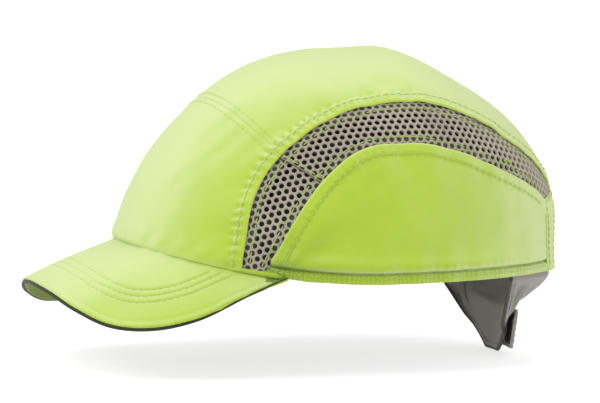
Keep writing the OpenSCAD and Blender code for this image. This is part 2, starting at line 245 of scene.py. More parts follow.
def arc(P):
    return np.concatenate([[0], np.cumsum(np.linalg.norm(np.diff(P, axis=0), axis=1))])


def resample(P, step):
    s = arc(P)
    n = max(2, int(round(s[-1] / step)) + 1)
    t = np.linspace(0, s[-1], n)
    return np.stack([np.interp(t, s, P[:, i]) for i in range(3)], -1)


def gnormal(P, t=0.0):
    """outward normal of the crown"""
    e = 0.08
    g = np.stack([G(P + e * v, t) - G(P - e * v, t) for v in np.eye(3)], -1)
    return unit(g)


def tangent(P):
    return unit(np.gradient(P, axis=0))


# ------------------------------------------------------------------ mesh building
def link(ob):
    scene.collection.objects.link(ob)
    return ob


def make(name, V, F, mat=None, uv=None, attrs=None, smooth_shade=True, outward=None):
    V = np.asarray(V, float).reshape(-1, 3)
    me = bpy.data.meshes.new(name)
    me.from_pydata((V * MM).tolist(), [], [tuple(int(k) for k in f) for f in F])
    me.validate()
    if smooth_shade:
        me.polygons.foreach_set("use_smooth", [True] * len(me.polygons))
    if uv is not None:
        lay = me.uv_layers.new(name="uvm")
        idx = np.empty(len(me.loops), int)
        me.loops.foreach_get("vertex_index", idx)
        lay.data.foreach_set("uv", np.asarray(uv, np.float32).reshape(-1, 2)[idx].ravel())
    for k, a in (attrs or {}).items():
        at = me.attributes.new(k, "FLOAT", "POINT")
        at.data.foreach_set("value", np.asarray(a, np.float32).ravel())
    me.update()
    ob = link(bpy.data.objects.new(name, me))
    if mat:
        me.materials.append(mat)
    return ob


def grid_faces(nu, nv, flip=False, wrap=False):
    i, j = np.meshgrid(np.arange(nu if wrap else nu - 1), np.arange(nv - 1), indexing="ij")
    a = i * nv + j
    b = ((i + 1) % nu) * nv + j
    F = np.stack([a, b, b + 1, a + 1], -1).reshape(-1, 4)
    return F[:, ::-1] if flip else F


def grid_normals(P):
    a = np.gradient(P, axis=0)
    b = np.gradient(P, axis=1)
    return unit(np.cross(a, b))


def uv_of(P):
    """millimetre coordinates on a grid, measured along its middle lines"""
    du = np.linalg.norm(np.diff(P, axis=0), axis=-1)
    dv = np.linalg.norm(np.diff(P, axis=1), axis=-1)
    u = np.concatenate([np.zeros((1, P.shape[1])), np.cumsum(du, 0)], 0)
    v = np.concatenate([np.zeros((P.shape[0], 1)), np.cumsum(dv, 1)], 1)
    u = u - u[P.shape[0] // 2][None, :]
    v = v - v[:, P.shape[1] // 2][:, None]
    return np.stack([u, v], -1)


def sheet(name, P, mat, out=None, thick=FT, attrs=None, bevel=0.35, seg=2, wrap=False, subsurf=0, offset=-1.0):
    """a cloth sheet with thickness on a grid of points; out is the side it faces"""
    N = grid_normals(P)
    if out is None:
        flip = (N * (P - P.reshape(-1, 3).mean(0))).sum() < 0
    else:
        flip = (N * out).sum() < 0
    ob = make(name, P, grid_faces(P.shape[0], P.shape[1], flip=flip, wrap=wrap), mat, uv_of(P), attrs)
    if subsurf:
        m = ob.modifiers.new("sub", "SUBSURF")
        m.levels = m.render_levels = subsurf
    if thick:
        m = ob.modifiers.new("thick", "SOLIDIFY")
        m.thickness = thick * MM
        m.offset = offset
        m.use_even_offset = False
    if bevel:
        m = ob.modifiers.new("round", "BEVEL")
        m.width = bevel * MM
        m.segments = seg
        m.limit_method = "ANGLE"
        m.angle_limit = math.radians(55)
        m.harden_normals = False
    return ob


def tube(name, P, r, mat, seg=10, flat=1.0, up=None, closed=False, taper=False):
    """a cord along P; r may vary; flat squashes it along up"""
    P = np.asarray(P, float)
    T = tangent(P)
    if up is None:
        up = np.tile([0, 0, 1.0], (len(P), 1))
    up = np.asarray(up, float)
    B = unit(np.cross(T, up))
    U = np.cross(B, T)
    r = np.broadcast_to(np.asarray(r, float), (len(P),)).copy()
    if taper:
        r[0] *= 0.45
        r[-1] *= 0.45
    a = np.linspace(0, 2 * math.pi, seg, endpoint=False)
    V = P[:, None] + (B[:, None] * np.cos(a)[None, :, None] + U[:, None] * np.sin(a)[None, :, None] * flat) * r[:, None, None]
    n = len(P)
    F = []
    for i in range(n - 1):
        for j in range(seg):
            k = (j + 1) % seg
            F.append((i * seg + j, i * seg + k, (i + 1) * seg + k, (i + 1) * seg + j))
    F.append(tuple(range(seg))[::-1])
    F.append(tuple((n - 1) * seg + j for j in range(seg)))
    s = arc(P)
    uv = np.stack([np.repeat(s[:, None], seg, 1), np.tile(a * r.mean(), (n, 1))], -1)
    ob = make(name, V, F, mat, uv)
    bm = bmesh.new()
    bm.from_mesh(ob.data)
    bmesh.ops.recalc_face_normals(bm, faces=bm.faces)
    bm.to_mesh(ob.data)
    bm.free()
    return ob


def stitch_mesh(name, runs, mat, pitch=3.6, length=2.75, r=0.27, sink=0.5):
    """thread stitches laid along runs of (points, normals)"""
    V = []
    F = []
    UV = []
    ring = 6
    prof = [(-0.5, 0.35, -0.55), (-0.42, 0.8, -0.2), (-0.2, 1.0, 0.12), (0.2, 1.0, 0.12), (0.42, 0.8, -0.2), (0.5, 0.35, -0.55)]
    base = 0
    for P, N in runs:
        s = arc(P)
        n = int(s[-1] / pitch)
        if n < 1:
            continue
        c = (np.arange(n) + 0.5) * pitch
        for ci in c:
            vs = []
            for (a, rr, h) in prof:
                q = np.array([np.interp(ci + a * length, s, P[:, k]) for k in range(3)])
                nn = unit(np.array([np.interp(ci, s, N[:, k]) for k in range(3)]))
                q2 = np.array([np.interp(ci + a * length + 0.3, s, P[:, k]) for k in range(3)])
                q1 = np.array([np.interp(ci + a * length - 0.3, s, P[:, k]) for k in range(3)])
                T = unit(q2 - q1)
                B = unit(np.cross(nn, T))
                q = q + nn * (h * r * 1.6 + r * (1 - sink))
                for j in range(ring):
                    an = 2 * math.pi * j / ring
                    vs.append(q + (B * math.cos(an) + nn * math.sin(an) * 0.8) * r * rr)
            V += vs
            for i in range(len(prof) - 1):
                for j in range(ring):
                    k = (j + 1) % ring
                    F.append((base + i * ring + j, base + i * ring + k, base + (i + 1) * ring + k, base + (i + 1) * ring + j))
            F.append(tuple(base + j for j in range(ring))[::-1])
            F.append(tuple(base + (len(prof) - 1) * ring + j for j in range(ring)))
            UV += [(i * 0.5, j * 0.3) for i in range(len(prof)) for j in range(ring)]
            base += len(vs)
    return make(name, np.array(V), F, mat, np.array(UV))


def done(ob, body, nodes=()):
    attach(ob, body)
    if nodes:
        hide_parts(*nodes)
    return ob


# ------------------------------------------------------------------ materials
class Mat:
    def __init__(self, name):
        self.m = bpy.data.materials.new(name)
        self.m.use_nodes = True
        self.t = self.m.node_tree
        self.t.nodes.clear()
        self.out = self.t.nodes.new("ShaderNodeOutputMaterial")
        self.b = self.t.nodes.new("ShaderNodeBsdfPrincipled")
        self.t.links.new(self.b.outputs[0], self.out.inputs[0])

    def n(self, kind, **kw):
        nd = self.t.nodes.new(kind)
        for k, v in kw.items():
            setattr(nd, k, v)
        return nd

    def put(self, sock, v):
        if isinstance(v, bpy.types.NodeSocket):
            self.t.links.new(v, sock)
        elif isinstance(v, (tuple, list)):
            sock.default_value = tuple(v) + ((1.0,) if len(v) == 3 and len(sock.default_value) == 4 else ())
        else:
            sock.default_value = v

    def math(self, op, a, b=0.0, c=0.0, clamp=False):
        nd = self.n("ShaderNodeMath", operation=op, use_clamp=clamp)
        self.put(nd.inputs[0], a)
        self.put(nd.inputs[1], b)
        self.put(nd.inputs[2], c)
        return nd.outputs[0]

    def mix(self, f, a, b, kind="MIX"):
        nd = self.n("ShaderNodeMix", data_type="RGBA", blend_type=kind)
        self.put(nd.inputs[0], f)
        self.put(nd.inputs[6], a)
        self.put(nd.inputs[7], b)
        return nd.outputs[2]

    def ramp(self, v, a, b, to0=0.0, to1=1.0):
        nd = self.n("ShaderNodeMapRange", interpolation_type="SMOOTHSTEP")
        self.put(nd.inputs[0], v)
        self.put(nd.inputs[1], a)
        self.put(nd.inputs[2], b)
        self.put(nd.inputs[3], to0)
        self.put(nd.inputs[4], to1)
        return nd.outputs[0]

    def noise(self, scale, detail=3.0, rough=0.55, vec=None, dist=0.0):
        nd = self.n("ShaderNodeTexNoise")
        tc = vec or self.n("ShaderNodeTexCoord").outputs["Object"]
        self.t.links.new(tc, nd.inputs["Vector"])
        nd.inputs["Scale"].default_value = scale
        nd.inputs["Detail"].default_value = detail
        nd.inputs["Roughness"].default_value = rough
        nd.inputs["Distortion"].default_value = dist
        return nd.outputs["Fac"]

    def attr(self, name):
        nd = self.n("ShaderNodeAttribute", attribute_name=name)
        return nd.outputs["Fac"]

    def uv(self, coords="uvm"):
        if coords == "uvm":
            v = self.n("ShaderNodeUVMap", uv_map="uvm").outputs[0]
            s = self.n("ShaderNodeSeparateXYZ")
            self.t.links.new(v, s.inputs[0])
            return s.outputs[0], s.outputs[1]
        s = self.n("ShaderNodeSeparateXYZ")
        self.t.links.new(self.n("ShaderNodeTexCoord").outputs["Object"], s.inputs[0])
        a = self.math("MULTIPLY", self.math("ADD", s.outputs[0], self.math("MULTIPLY", s.outputs[1], 0.61)), 1000.0)
        b = self.math("MULTIPLY", self.math("ADD", s.outputs[2], self.math("MULTIPLY", s.outputs[1], 0.37)), 1000.0)
        return a, b

    def bump(self, h, dist, strength=1.0, under=None):
        nd = self.n("ShaderNodeBump")
        nd.inputs["Strength"].default_value = strength
        nd.inputs["Distance"].default_value = dist
        self.t.links.new(h, nd.inputs["Height"])
        if under is not None:
            self.t.links.new(under, nd.inputs["Normal"])
        return nd.outputs[0]

    def set(self, name, v):
        self.put(self.b.inputs[name], v)


def rgb(r, g, b):
    """screen colour to linear"""
    f = lambda c: (c / 255 / 12.92) if c / 255 <= 0.04045 else ((c / 255 + 0.055) / 1.055) ** 2.4
    return (f(r), f(g), f(b))


def cloth(name, base, alt, dark, weave=0.62, wb=0.00006, rough=0.62, sheen=0.35, sheen_tint=(1, 1, 1), stitched=False, coords="uvm", kind="twill", spec=0.3, tone=26.0, fuzz=0.00003, pitch=3.6, sheen_rough=0.45, wear=0.1, painted_sheen=None):
    m = Mat(name)
    u, v = m.uv(coords)
    k = 2 * math.pi / weave
    su = m.math("SINE", m.math("MULTIPLY", u, k))
    sv = m.math("SINE", m.math("MULTIPLY", v, k))
    if kind == "twill":
        d = m.math("SINE", m.math("MULTIPLY", m.math("ADD", u, v), k * 0.5))
        h = m.math("ADD", m.math("MULTIPLY", m.math("MULTIPLY", su, sv), 0.3), m.math("MULTIPLY", d, 0.2))
    elif kind == "plain":
        h = m.math("MULTIPLY", m.math("MULTIPLY", su, sv), 0.5)
    elif kind == "terry":
        h = m.math("SUBTRACT", m.noise(1500.0, 2.0, 0.6), 0.5)
    else:  # knit
        h = m.math("MULTIPLY", m.math("ADD", su, m.math("MULTIPLY", m.math("ABSOLUTE", sv), 0.8)), 0.3)
    h = m.math("ADD", h, 0.5)
    fib = m.noise(2600.0, 2.0, 0.5)
    big = m.ramp(m.noise(tone, 4.0, 0.6), 0.3, 0.7)
    mid = m.ramp(m.noise(tone * 7, 3.0, 0.6), 0.3, 0.75)
    c = m.mix(big, base, alt)
    c = m.mix(m.math("MULTIPLY", mid, 0.35), c, alt)
    if painted_sheen:
        # painted sheen: satin cloth is mixed towards a pale colour where it turns away from the eye, standing in for
        # its reflection of the bright surroundings
        lw = m.n("ShaderNodeLayerWeight")
        lw.inputs["Blend"].default_value = 0.5
        sheen_paint_mix = m.ramp(lw.outputs["Facing"], 0.0, 0.54)
        if stitched:
            sheen_paint_mix = m.math("MULTIPLY", sheen_paint_mix, m.ramp(m.attr("ed"), -1.6, 1.8))
        c = m.mix(sheen_paint_mix, c, painted_sheen)
    # painted shade: the weave's valleys are darkened
    c = m.mix(m.math("MULTIPLY", m.math("SUBTRACT", 1.0, h), 0.22), c, dark)
    c = m.mix(m.math("MULTIPLY", fib, 0.10), c, dark)
    hh = m.math("ADD", h, m.math("MULTIPLY", fib, fuzz / max(wb, 1e-9)))
    nb = m.bump(hh, wb)
    r = m.math("ADD", m.math("MULTIPLY", mid, 0.10), m.math("SUBTRACT", rough, 0.05))
    if stitched:
        sd = m.attr("sd")
        sa = m.attr("sa")
        ed = m.attr("ed")
        wave = m.math("SINE", m.math("MULTIPLY", sa, 2 * math.pi / pitch))
        near = m.ramp(sd, 0.3, 3.2, 1.0, 0.0)
        hole = m.math("MULTIPLY", m.ramp(sd, 0.15, 0.75, 1.0, 0.0), m.ramp(wave, 0.55, 0.95))
        line = m.ramp(sd, 0.2, 1.1, 1.0, 0.0)
        c = m.mix(m.math("MULTIPLY", hole, 0.24), c, dark)
        c = m.mix(m.math("MULTIPLY", line, 0.12), c, dark)
        # painted shade from the sh attribute: darker cloth under the bagged hem, on the hem strip and at the lower
        # front corner
        c = m.mix(m.attr("sh"), c, dark)
        # worn, slightly paler folds along the edges
        worn = m.math("MULTIPLY", m.ramp(ed, 0.2, 1.6, 1.0, 0.0), m.ramp(m.noise(420.0, 3.0, 0.6), 0.35, 0.7))
        c = m.mix(m.math("MULTIPLY", worn, wear), c, (0.86, 0.92, 0.62))
        pk = m.math("MULTIPLY", m.math("MULTIPLY", wave, near), 0.5)
        nb = m.bump(pk, 0.00028, 1.0, nb)
        creases = m.noise(170.0, 4.0, 0.62, dist=1.6)
        nb = m.bump(creases, 0.00028, 0.5, nb)
        r = m.math("ADD", r, m.math("MULTIPLY", near, 0.05))
    else:
        nb = m.bump(m.noise(240.0, 3.0, 0.6), 0.0002, 0.5, nb)
    m.set("Base Color", c)
    m.set("Roughness", r)
    m.set("Normal", nb)
    m.set("Sheen Weight", sheen)
    m.set("Sheen Roughness", sheen_rough)
    m.set("Sheen Tint", sheen_tint)
    m.set("Specular IOR Level", spec)
    return m.m


def plastic(name, base, alt, rough=0.5, grain=700.0, depth=0.00008, scratch=0.15):
    m = Mat(name)
    g = m.noise(grain, 3.0, 0.6)
    big = m.ramp(m.noise(40.0, 4.0, 0.6), 0.35, 0.7)
    c = m.mix(big, base, alt)
    tc = m.n("ShaderNodeTexCoord").outputs["Object"]
    mp = m.n("ShaderNodeMapping")
    m.t.links.new(tc, mp.inputs[0])
    mp.inputs["Scale"].default_value = (60, 900, 120)
    mp.inputs["Rotation"].default_value = (0.3, 0.2, 0.5)
    s = m.ramp(m.noise(1.0, 2.0, 0.5, vec=mp.outputs[0]), 0.66, 0.74)
    c = m.mix(m.math("MULTIPLY", s, scratch), c, (0.35, 0.35, 0.34))
    m.set("Base Color", c)
    m.set("Roughness", m.math("ADD", m.math("MULTIPLY", g, 0.2), rough - 0.1))
    m.set("Normal", m.bump(g, depth))
    m.set("Specular IOR Level", 0.45)
    return m.m


# painted sheen colour: pale lime that the lime cloth is mixed towards where it turns away from the eye
PAINTED_SHEEN_COLOUR = (0.685, 0.785, 0.36)
LIME = cloth("lime_cloth", (0.43, 0.60, 0.034), (0.475, 0.645, 0.050), (0.15, 0.27, 0.008), stitched=True, rough=0.55, sheen=0.12, spec=0.3, sheen_tint=(1.0, 1.0, 0.86), painted_sheen=PAINTED_SHEEN_COLOUR)
# painted shade: darker copy of the lime cloth for the brim's underside, which lies in the brim's shadow
LIME_UNDER_SHADED = cloth("lime_cloth_under_painted_shade", (0.21, 0.29, 0.035), (0.24, 0.32, 0.045), (0.07, 0.12, 0.006), stitched=True, rough=0.6, sheen=0.1, spec=0.25)
THREAD = cloth("lime_thread", (0.50, 0.68, 0.13), (0.54, 0.71, 0.18), (0.24, 0.40, 0.03), weave=0.5, rough=0.5, sheen=0.1, wb=0.00004)
THREAD_M = cloth("mesh_thread", rgb(150, 196, 52), rgb(172, 212, 84), rgb(86, 120, 20), weave=0.5, rough=0.55, sheen=0.3, wb=0.00004)
NET = cloth("mesh_knit", rgb(188, 179, 162), rgb(168, 158, 141), rgb(100, 90, 76), weave=0.7, wb=0.00012, rough=0.72, sheen=0.25, kind="knit", spec=0.25)
# painted shade: darker copy of the mesh knit for the rolled cross-seam fold, standing in for the shade in the fold
NET_FOLD_SHADED = cloth("mesh_knit_fold_painted_shade", rgb(150, 140, 124), rgb(132, 122, 107), rgb(84, 75, 62), weave=0.7, wb=0.00012, rough=0.72, sheen=0.2, kind="knit", spec=0.25)
GREY = cloth("grey_cloth", rgb(88, 84, 76), rgb(76, 73, 66), rgb(40, 38, 34), weave=0.9, wb=0.0001, rough=0.75, sheen=0.3, kind="plain", spec=0.25)
GREY_S = cloth("grey_cloth_stitched", rgb(174, 170, 163), rgb(162, 158, 151), rgb(98, 95, 90), weave=0.9, wb=0.0001, rough=0.74, sheen=0.3, kind="plain", spec=0.25, stitched=True, wear=0.0)
TERRY = cloth("sweatband_terry", rgb(84, 84, 82), rgb(70, 70, 69), rgb(30, 30, 30), wb=0.0004, rough=0.85, sheen=0.4, kind="terry", spec=0.2)
BIND = cloth("dark_binding", rgb(98, 89, 80), rgb(84, 76, 68), rgb(44, 39, 34), weave=0.7, wb=0.00012, rough=0.72, sheen=0.25, kind="plain")
TRIM = cloth("brim_trim", rgb(58, 64, 30), rgb(44, 50, 24), rgb(18, 22, 8), weave=0.7, wb=0.0001, rough=0.7, sheen=0.2, kind="plain")
PILE = cloth("loop_pile", rgb(60, 60, 60), rgb(46, 46, 46), rgb(16, 16, 16), wb=0.0005, rough=0.9, sheen=0.5, kind="terry", spec=0.15)
HOOK = cloth("hook_face", rgb(44, 44, 45), rgb(34, 34, 35), rgb(10, 10, 10), weave=1.1, wb=0.0004, rough=0.5, sheen=0.05, kind="plain", spec=0.5)
PADC = cloth("pad_cloth", rgb(66, 68, 70), rgb(54, 56, 58), rgb(22, 23, 24), weave=0.8, wb=0.0001, rough=0.7, sheen=0.35, kind="knit", spec=0.25)
SHELL = plastic("shell_plastic", rgb(46, 48, 50), rgb(36, 38, 40))
BOARD = plastic("board_plastic", rgb(60, 60, 58), rgb(48, 48, 46), rough=0.6)

# ------------------------------------------------------------------ seam and stitch lines (left side, x > 0)
l0u = float(lam_hem(np.array(1.0)))
l0l = float(lam_hem(np.array(0.0)))
l1u = float(lam_back(np.array(1.0)))
l1l = float(lam_back(np.array(0.0)))
lamU = np.linspace(l0u, l1u, 700)
lamL = np.linspace(l0l, l1l, 700)
EU = cp(lamU, ku(lamU))
EL = cp(lamL, kl(lamL))


def side_dir(P):
    """in-surface direction across a line, turned towards the crown's top side"""
    T = tangent(P)
    N = gnormal(P)
    B = unit(np.cross(T, N))
    return B, N


BU, NU = side_dir(EU)
if (BU[350] * np.array([-1, 0, 0.6])).sum() < 0:
    BU = -BU
BL, NL = side_dir(EL)
if (BL[350] * np.array([-1, 0, 0.6])).sum() < 0:
    BL = -BL
UD = 4.8  # topstitch distance on the lime above the stripe
LD = 5.2  # and below it
LU_ST = onto(EU + BU * UD)
LL_ST = onto(EL - BL * LD)
# the line below the stripe stays above the hem
keepL = LL_ST[:, 2] > hem(LL_ST[:, 1]) + 5.5
keepL &= ~((LL_ST[:, 1] > 0) & (LL_ST[:, 0] < BW + 5.0))
LL_ST = LL_ST[keepL]
keepU = (LU_ST[:, 2] > hem(LU_ST[:, 1]) + 1.0) & ~((LU_ST[:, 1] > 0) & (LU_ST[:, 2] < btop(LU_ST[:, 0]) + 2.5))
LU_ST = LU_ST[keepU]
kf = np.linspace(float(ku(SEAM)), 180 - float(ku(SEAM)), 500)
EF = cp(SEAM, kf)
FD = 3.0
F1 = onto(EF + unit(np.cross(tangent(EF), gnormal(EF))) * FD)
F2 = onto(EF - unit(np.cross(tangent(EF), gnormal(EF))) * FD)
inner = slice(12, -12)
F1 = F1[inner]
F2 = F2[inner]
thH = np.linspace(59, -239, 1500)
EH = hemp(thH, 0.0)
HS = 3.4  # hem stitching height
HST = hemp(thH, HS)
MIR = np.array([-1.0, 1, 1])


def line_set(lines):
    Q = np.concatenate([resample(l, 0.45) for l in lines])
    S = np.concatenate([arc(resample(l, 0.45)) for l in lines])
    return Q, S


TOPL = line_set([LU_ST, LU_ST * MIR])
HSTL = HST[HST[:, 0] > 0] - np.array([0, 0, 0.6])
SIDEL = line_set([LL_ST, HSTL])


def lime_disp(P, kind):
    """height of the cloth over the crown, with distances used by the shader; kind front, crown or side"""
    X = np.abs(P[..., 0])
    PM = P.copy()
    PM[..., 0] = X
    sgn = np.where(P[..., 0] < 0, 1.7, 0.0)
    h = soft(P) + flare(P)
    h = h + 0.16 * noise(P * np.array([1.0, 1.0, 1.5]), 15, 2) * np.clip(0.5 + 0.6 * noise(P, 60, 4), 0, 1)
    if kind in ("front", "crown"):
        dU, sU = nearest(PM, resample(EU, 0.6), arc(resample(EU, 0.6)))
        dF = nearest(P, resample(EF, 0.6))
        sd, sa = nearest(P, *TOPL)
        edge = dU
        rai = 0.62 * (1 - smooth(UD - 0.2, UD + 1.6, dU)) * smooth(0, 0.9, dU)
        h += rai
        # gathers across the border, strong near the stitch line
        amp = np.exp(-((dU - UD) / 2.6) ** 2)
        var = 0.55 + 0.45 * noise(PM + sgn[..., None] * 40, 22, 2)
        fr = 0.24 + 0.66 * smooth(30, -55, P[..., 1])
        h += fr * amp * var * np.sin(2 * math.pi * sU / 4.4 + 1.5 * noise(PM, 24, 3) + sgn)
        drag = np.exp(-np.maximum(dU - UD, 0) / 9.0) * (dU > 0)
        h += 0.42 * drag * noise(np.stack([sU * 1.0, dU * 0.22, sgn * 30], -1), 12, 4)
        h -= 0.20 * np.exp(-(dF / 0.6) ** 2)
        h += 0.05 * (1 - smooth(FD, FD + 1.8, dF))
        h += 0.20 * np.exp(-np.maximum(dF - FD, 0) / 6.0) * noise(np.stack([P[..., 0], dF * 0.3, 0 * dF], -1), 10, 5)
        h -= 0.27 * np.exp(-(sd / 0.6) ** 2) * (0.62 + 0.38 * np.cos(2 * math.pi * sa / 3.6))
        if kind == "front":
            dH = nearest(P, resample(EH, 0.8))
            h -= 0.75 * np.exp(-(dH / 1.1) ** 2)
            h += 0.35 * np.exp(-((dH - 5) / 4.0) ** 2) * (1 + noise(P, 14, 2))
            edge = np.minimum(edge, dH)
        else:
            top = P[..., 2] - btop(P[..., 0]) + 1.1
            rear = np.where(P[..., 1] > 0, np.maximum(top, 0), 99)
            h -= 0.4 * np.exp(-(rear / 0.9) ** 2)
            edge = np.minimum(edge, rear)
        return h, sd, sa, edge
    dL, sL = nearest(PM, resample(EL, 0.6), arc(resample(EL, 0.6)))
    dH, sH = nearest(PM, resample(EH[EH[:, 0] > 0], 0.8), arc(resample(EH[EH[:, 0] > 0], 0.8)))
    sd, sa = nearest(PM, *SIDEL)
    rai = 0.55 * (1 - smooth(LD - 0.2, LD + 1.6, dL)) * smooth(0, 0.9, dL)
    h += rai
    amp = np.exp(-((dL - LD) / 2.4) ** 2)
    var = 0.55 + 0.45 * noise(PM + sgn[..., None] * 40, 26, 2)
    front = 1 + 0.9 * smooth(-25, -60, P[..., 1])
    h += (0.12 + 0.26 * smooth(20, -30, P[..., 1])) * front * amp * var * np.sin(2 * math.pi * sL / 4.6 + 1.4 * noise(PM, 24, 3) + sgn)
    h += 0.34 * front * np.exp(-np.maximum(dL - LD, 0) / 8.0) * noise(np.stack([sL, dL * 0.25, sgn * 30], -1), 13, 4)
    h -= 0.25 * np.exp(-(sd / 0.6) ** 2) * (0.62 + 0.38 * np.cos(2 * math.pi * sa / 3.6))
    # the panel bags out over the stitched hem
    hs = HS + 1.5
    h += 0.22 * (1 - smooth(hs - 0.6, hs, dH)) * smooth(0, 0.9, dH)
    h -= 1.25 * np.exp(-((dH - hs) / 0.7) ** 2)
    rb = np.where(P[..., 1] > 0, smooth(0, 9, X - BW), 1.0)
    h += 2.0 * rb * np.exp(-((dH - hs - 3.4) / 4.2) ** 2) * smooth(hs - 0.4, hs + 1.2, dH)
    gath = np.exp(-((dH - hs) / 3.4) ** 2)
    h += 0.13 * gath * (0.6 + 0.4 * noise(PM, 24, 5)) * np.sin(2 * math.pi * sH / 4.6 + 0.9 * noise(PM, 28, 1) + sgn)
    h += 0.3 * np.exp(-np.maximum(dH - hs, 0) / 11.0) * noise(np.stack([sH, dH * 0.2, sgn * 30], -1), 15, 0)
    # soft slack folds fanning from the lower front corner
    c = np.array([77.5, -50.0, 8.0])
    rel = PM - c
    rr = np.linalg.norm(rel, axis=-1)
    ang = np.arctan2(rel[..., 2], rel[..., 1])
    h += 0.75 * np.exp(-((rr - 24) / 17) ** 2) * np.sin(ang * 7.5 + 0.8 + sgn * 0.5)
    rx = np.where(P[..., 1] > 0, np.maximum(X - BW - 1.9, 0), 99)
    h -= 0.1 * np.exp(-(rx / 0.9) ** 2)
    edge = np.minimum(dL, dH)
    return h, sd, sa, edge


def side_shade(P):
    """painted shade: a shadow line under the bagged edge, pucker shading as fine dark ticks on the hem strip, and
    darker cloth at the lower front corner and lower front part where the panel curves away from the light
    """
    PM = P.copy()
    PM[..., 0] = np.abs(P[..., 0])
    line = resample(EH[EH[:, 0] > 0], 0.8)
    dH, sH = nearest(PM, line, arc(line))
    hs = HS + 1.5
    sh = 0.56 * np.exp(-((dH - hs - 0.1) / 0.8) ** 2)
    sh = sh + 0.30 * (1 - smooth(hs - 1.1, hs - 0.2, dH)) * (0.5 + 0.5 * np.sin(2 * math.pi * sH / 2.3 + noise(PM, 9, 2))) ** 2
    rr = np.linalg.norm(PM - np.array([77.5, -50.0, 6.0]), axis=-1)
    sh = sh + 0.30 * np.exp(-(rr / 13.0) ** 2) + 0.13 * smooth(5, -45, P[..., 1]) * smooth(46, 12, P[..., 2])
    return np.clip(sh, 0, 0.8)


def dense(n, a, b, k=0.65):
    """0 to 1 with points packed towards both ends"""
    t = np.linspace(0, 1, n)
    c = 0.5 - 0.5 * np.cos(math.pi * t)
    return a + (b - a) * (t * (1 - k) + c * k)


def lime_panel(name, f0, f1, nf, nl, lam0, lam1, kind, node):
    f = dense(nf, f0, f1)
    A = lam_hem(f) if lam0 is None else np.full(nf, lam0)
    B = lam_back(f) if lam1 is None else np.full(nf, lam1)
    v = dense(nl, 0, 1, 0.35)
    lam = A[:, None] + (B - A)[:, None] * v[None]
    P = cp(lam, kmix(f[:, None], lam))
    N = gnormal(P)
    h, sd, sa, ed = lime_disp(P, kind)
    Q = P + N * h[..., None]
    ob = sheet(name, Q, LIME, out=N, attrs={"sd": sd, "sa": sa, "ed": ed})
    return done(ob, "cap", [node])


lime_panel("front_panel_cloth", 1.001, 1.999, 150, 130, None, SEAM - 0.02, "front", "front_panel")
lime_panel("crown_panel_cloth", 1.001, 1.999, 136, 262, SEAM + 0.02, None, "crown", "crown_panel")


def side_points(nu, nv):
    b = l1l
    a = l0l + 0.8
    A = cp(a, float(kl(a)))
    th0 = math.degrees(math.atan2(A[1], A[0])) - 0.6
    e = rp(BW + 0.1, 0.0)
    th1 = math.degrees(math.atan2(e[1], e[0]))
    s = np.linspace(0, 1, nu)
    lam = a + (b - a) * s ** 0.92
    th = th0 + (th1 - th0) * s
    p = hemp(th, 0.0)
    q = cp(lam, kl(lam))
    v = dense(nv, 0, 1, 0.8)
    m = p[:, None] + (q - p)[:, None] * v[None, :, None]
    return onto(m)


SP = side_points(300, 96)
for side, sx in (("left", 1), ("right", -1)):
    P = SP * np.array([sx, 1, 1])
    N = gnormal(P)
    h, sd, sa, ed = lime_disp(P, "side")
    ob = sheet("side_panel_cloth_" + side, P + N * h[..., None], LIME, out=N, attrs={"sd": sd, "sa": sa, "ed": ed, "sh": side_shade(P)})
    done(ob, "cap", ["side_panel_" + side])

# ------------------------------------------------------------------ mesh stripes with real holes
lamC = np.linspace(min(l0u, l0l) - 3.5, max(l1u, l1l) + 1.0, 900)
PC = cp(lamC, (ku(lamC) + kl(lamC)) / 2, 0.5)
BCV, NC = side_dir(PC)
if (BCV[450] * np.array([-1, 0, 0.6])).sum() < 0:
    BCV = -BCV
SC = arc(PC)
TC = tangent(PC)
dT = np.gradient(TC, axis=0) / np.gradient(SC)[:, None]
kg = (dT * BCV).sum(1)
kg = np.convolve(np.pad(kg, 20, mode="edge"), np.ones(41) / 41, mode="valid")
PHI = np.concatenate([[0], np.cumsum((kg[1:] + kg[:-1]) / 2 * np.diff(SC))])
XY = np.stack([np.concatenate([[0], np.cumsum((np.cos(PHI[1:]) + np.cos(PHI[:-1])) / 2 * np.diff(SC))]),
               np.concatenate([[0], np.cumsum((np.sin(PHI[1:]) + np.sin(PHI[:-1])) / 2 * np.diff(SC))])], -1)
NRM2 = np.stack([-np.sin(PHI), np.cos(PHI)], -1)
wu = nearest(PC, resample(EU, 0.4))
wl = nearest(PC, resample(EL, 0.4))


def plane_to_sw(q):
    """flat cloth coordinates to distance along and across the stripe"""
    s = np.empty(len(q))
    w = np.empty(len(q))
    for a in range(0, len(q), 2000):
        d = ((q[a:a + 2000, None] - XY[None]) ** 2).sum(-1)
        i = d.argmin(1)
        rel = q[a:a + 2000] - XY[i]
        tan = np.stack([np.cos(PHI[i]), np.sin(PHI[i])], -1)
        s[a:a + 2000] = SC[i] + (rel * tan).sum(1)
        w[a:a + 2000] = (rel * NRM2[i]).sum(1)
    return s, w


def sw_to_3d(s, w, h, sx=1):
    base = np.stack([np.interp(s, SC, PC[:, k]) for k in range(3)], -1)
    bb = np.stack([np.interp(s, SC, BCV[:, k]) for k in range(3)], -1)
    WU = np.interp(s, SC, wu)
    WL = np.interp(s, SC, wl)
    e = np.minimum(WU - w, WL + w)  # distance inside the stripe's border
    t = 0.30 + 0.62 * (1 - smooth(0.2, 2.6, e))
    P = base + bb * w[:, None]
    dip = 0.30 * np.exp(-((e - 3.3) / 0.8) ** 2)
    Q = onto(P, 0.0)
    M = np.array([sx, 1, 1])
    return Q + gnormal(Q, 0.0) * (h + soft(Q * M) + flare(Q) - t - dip)[:, None]


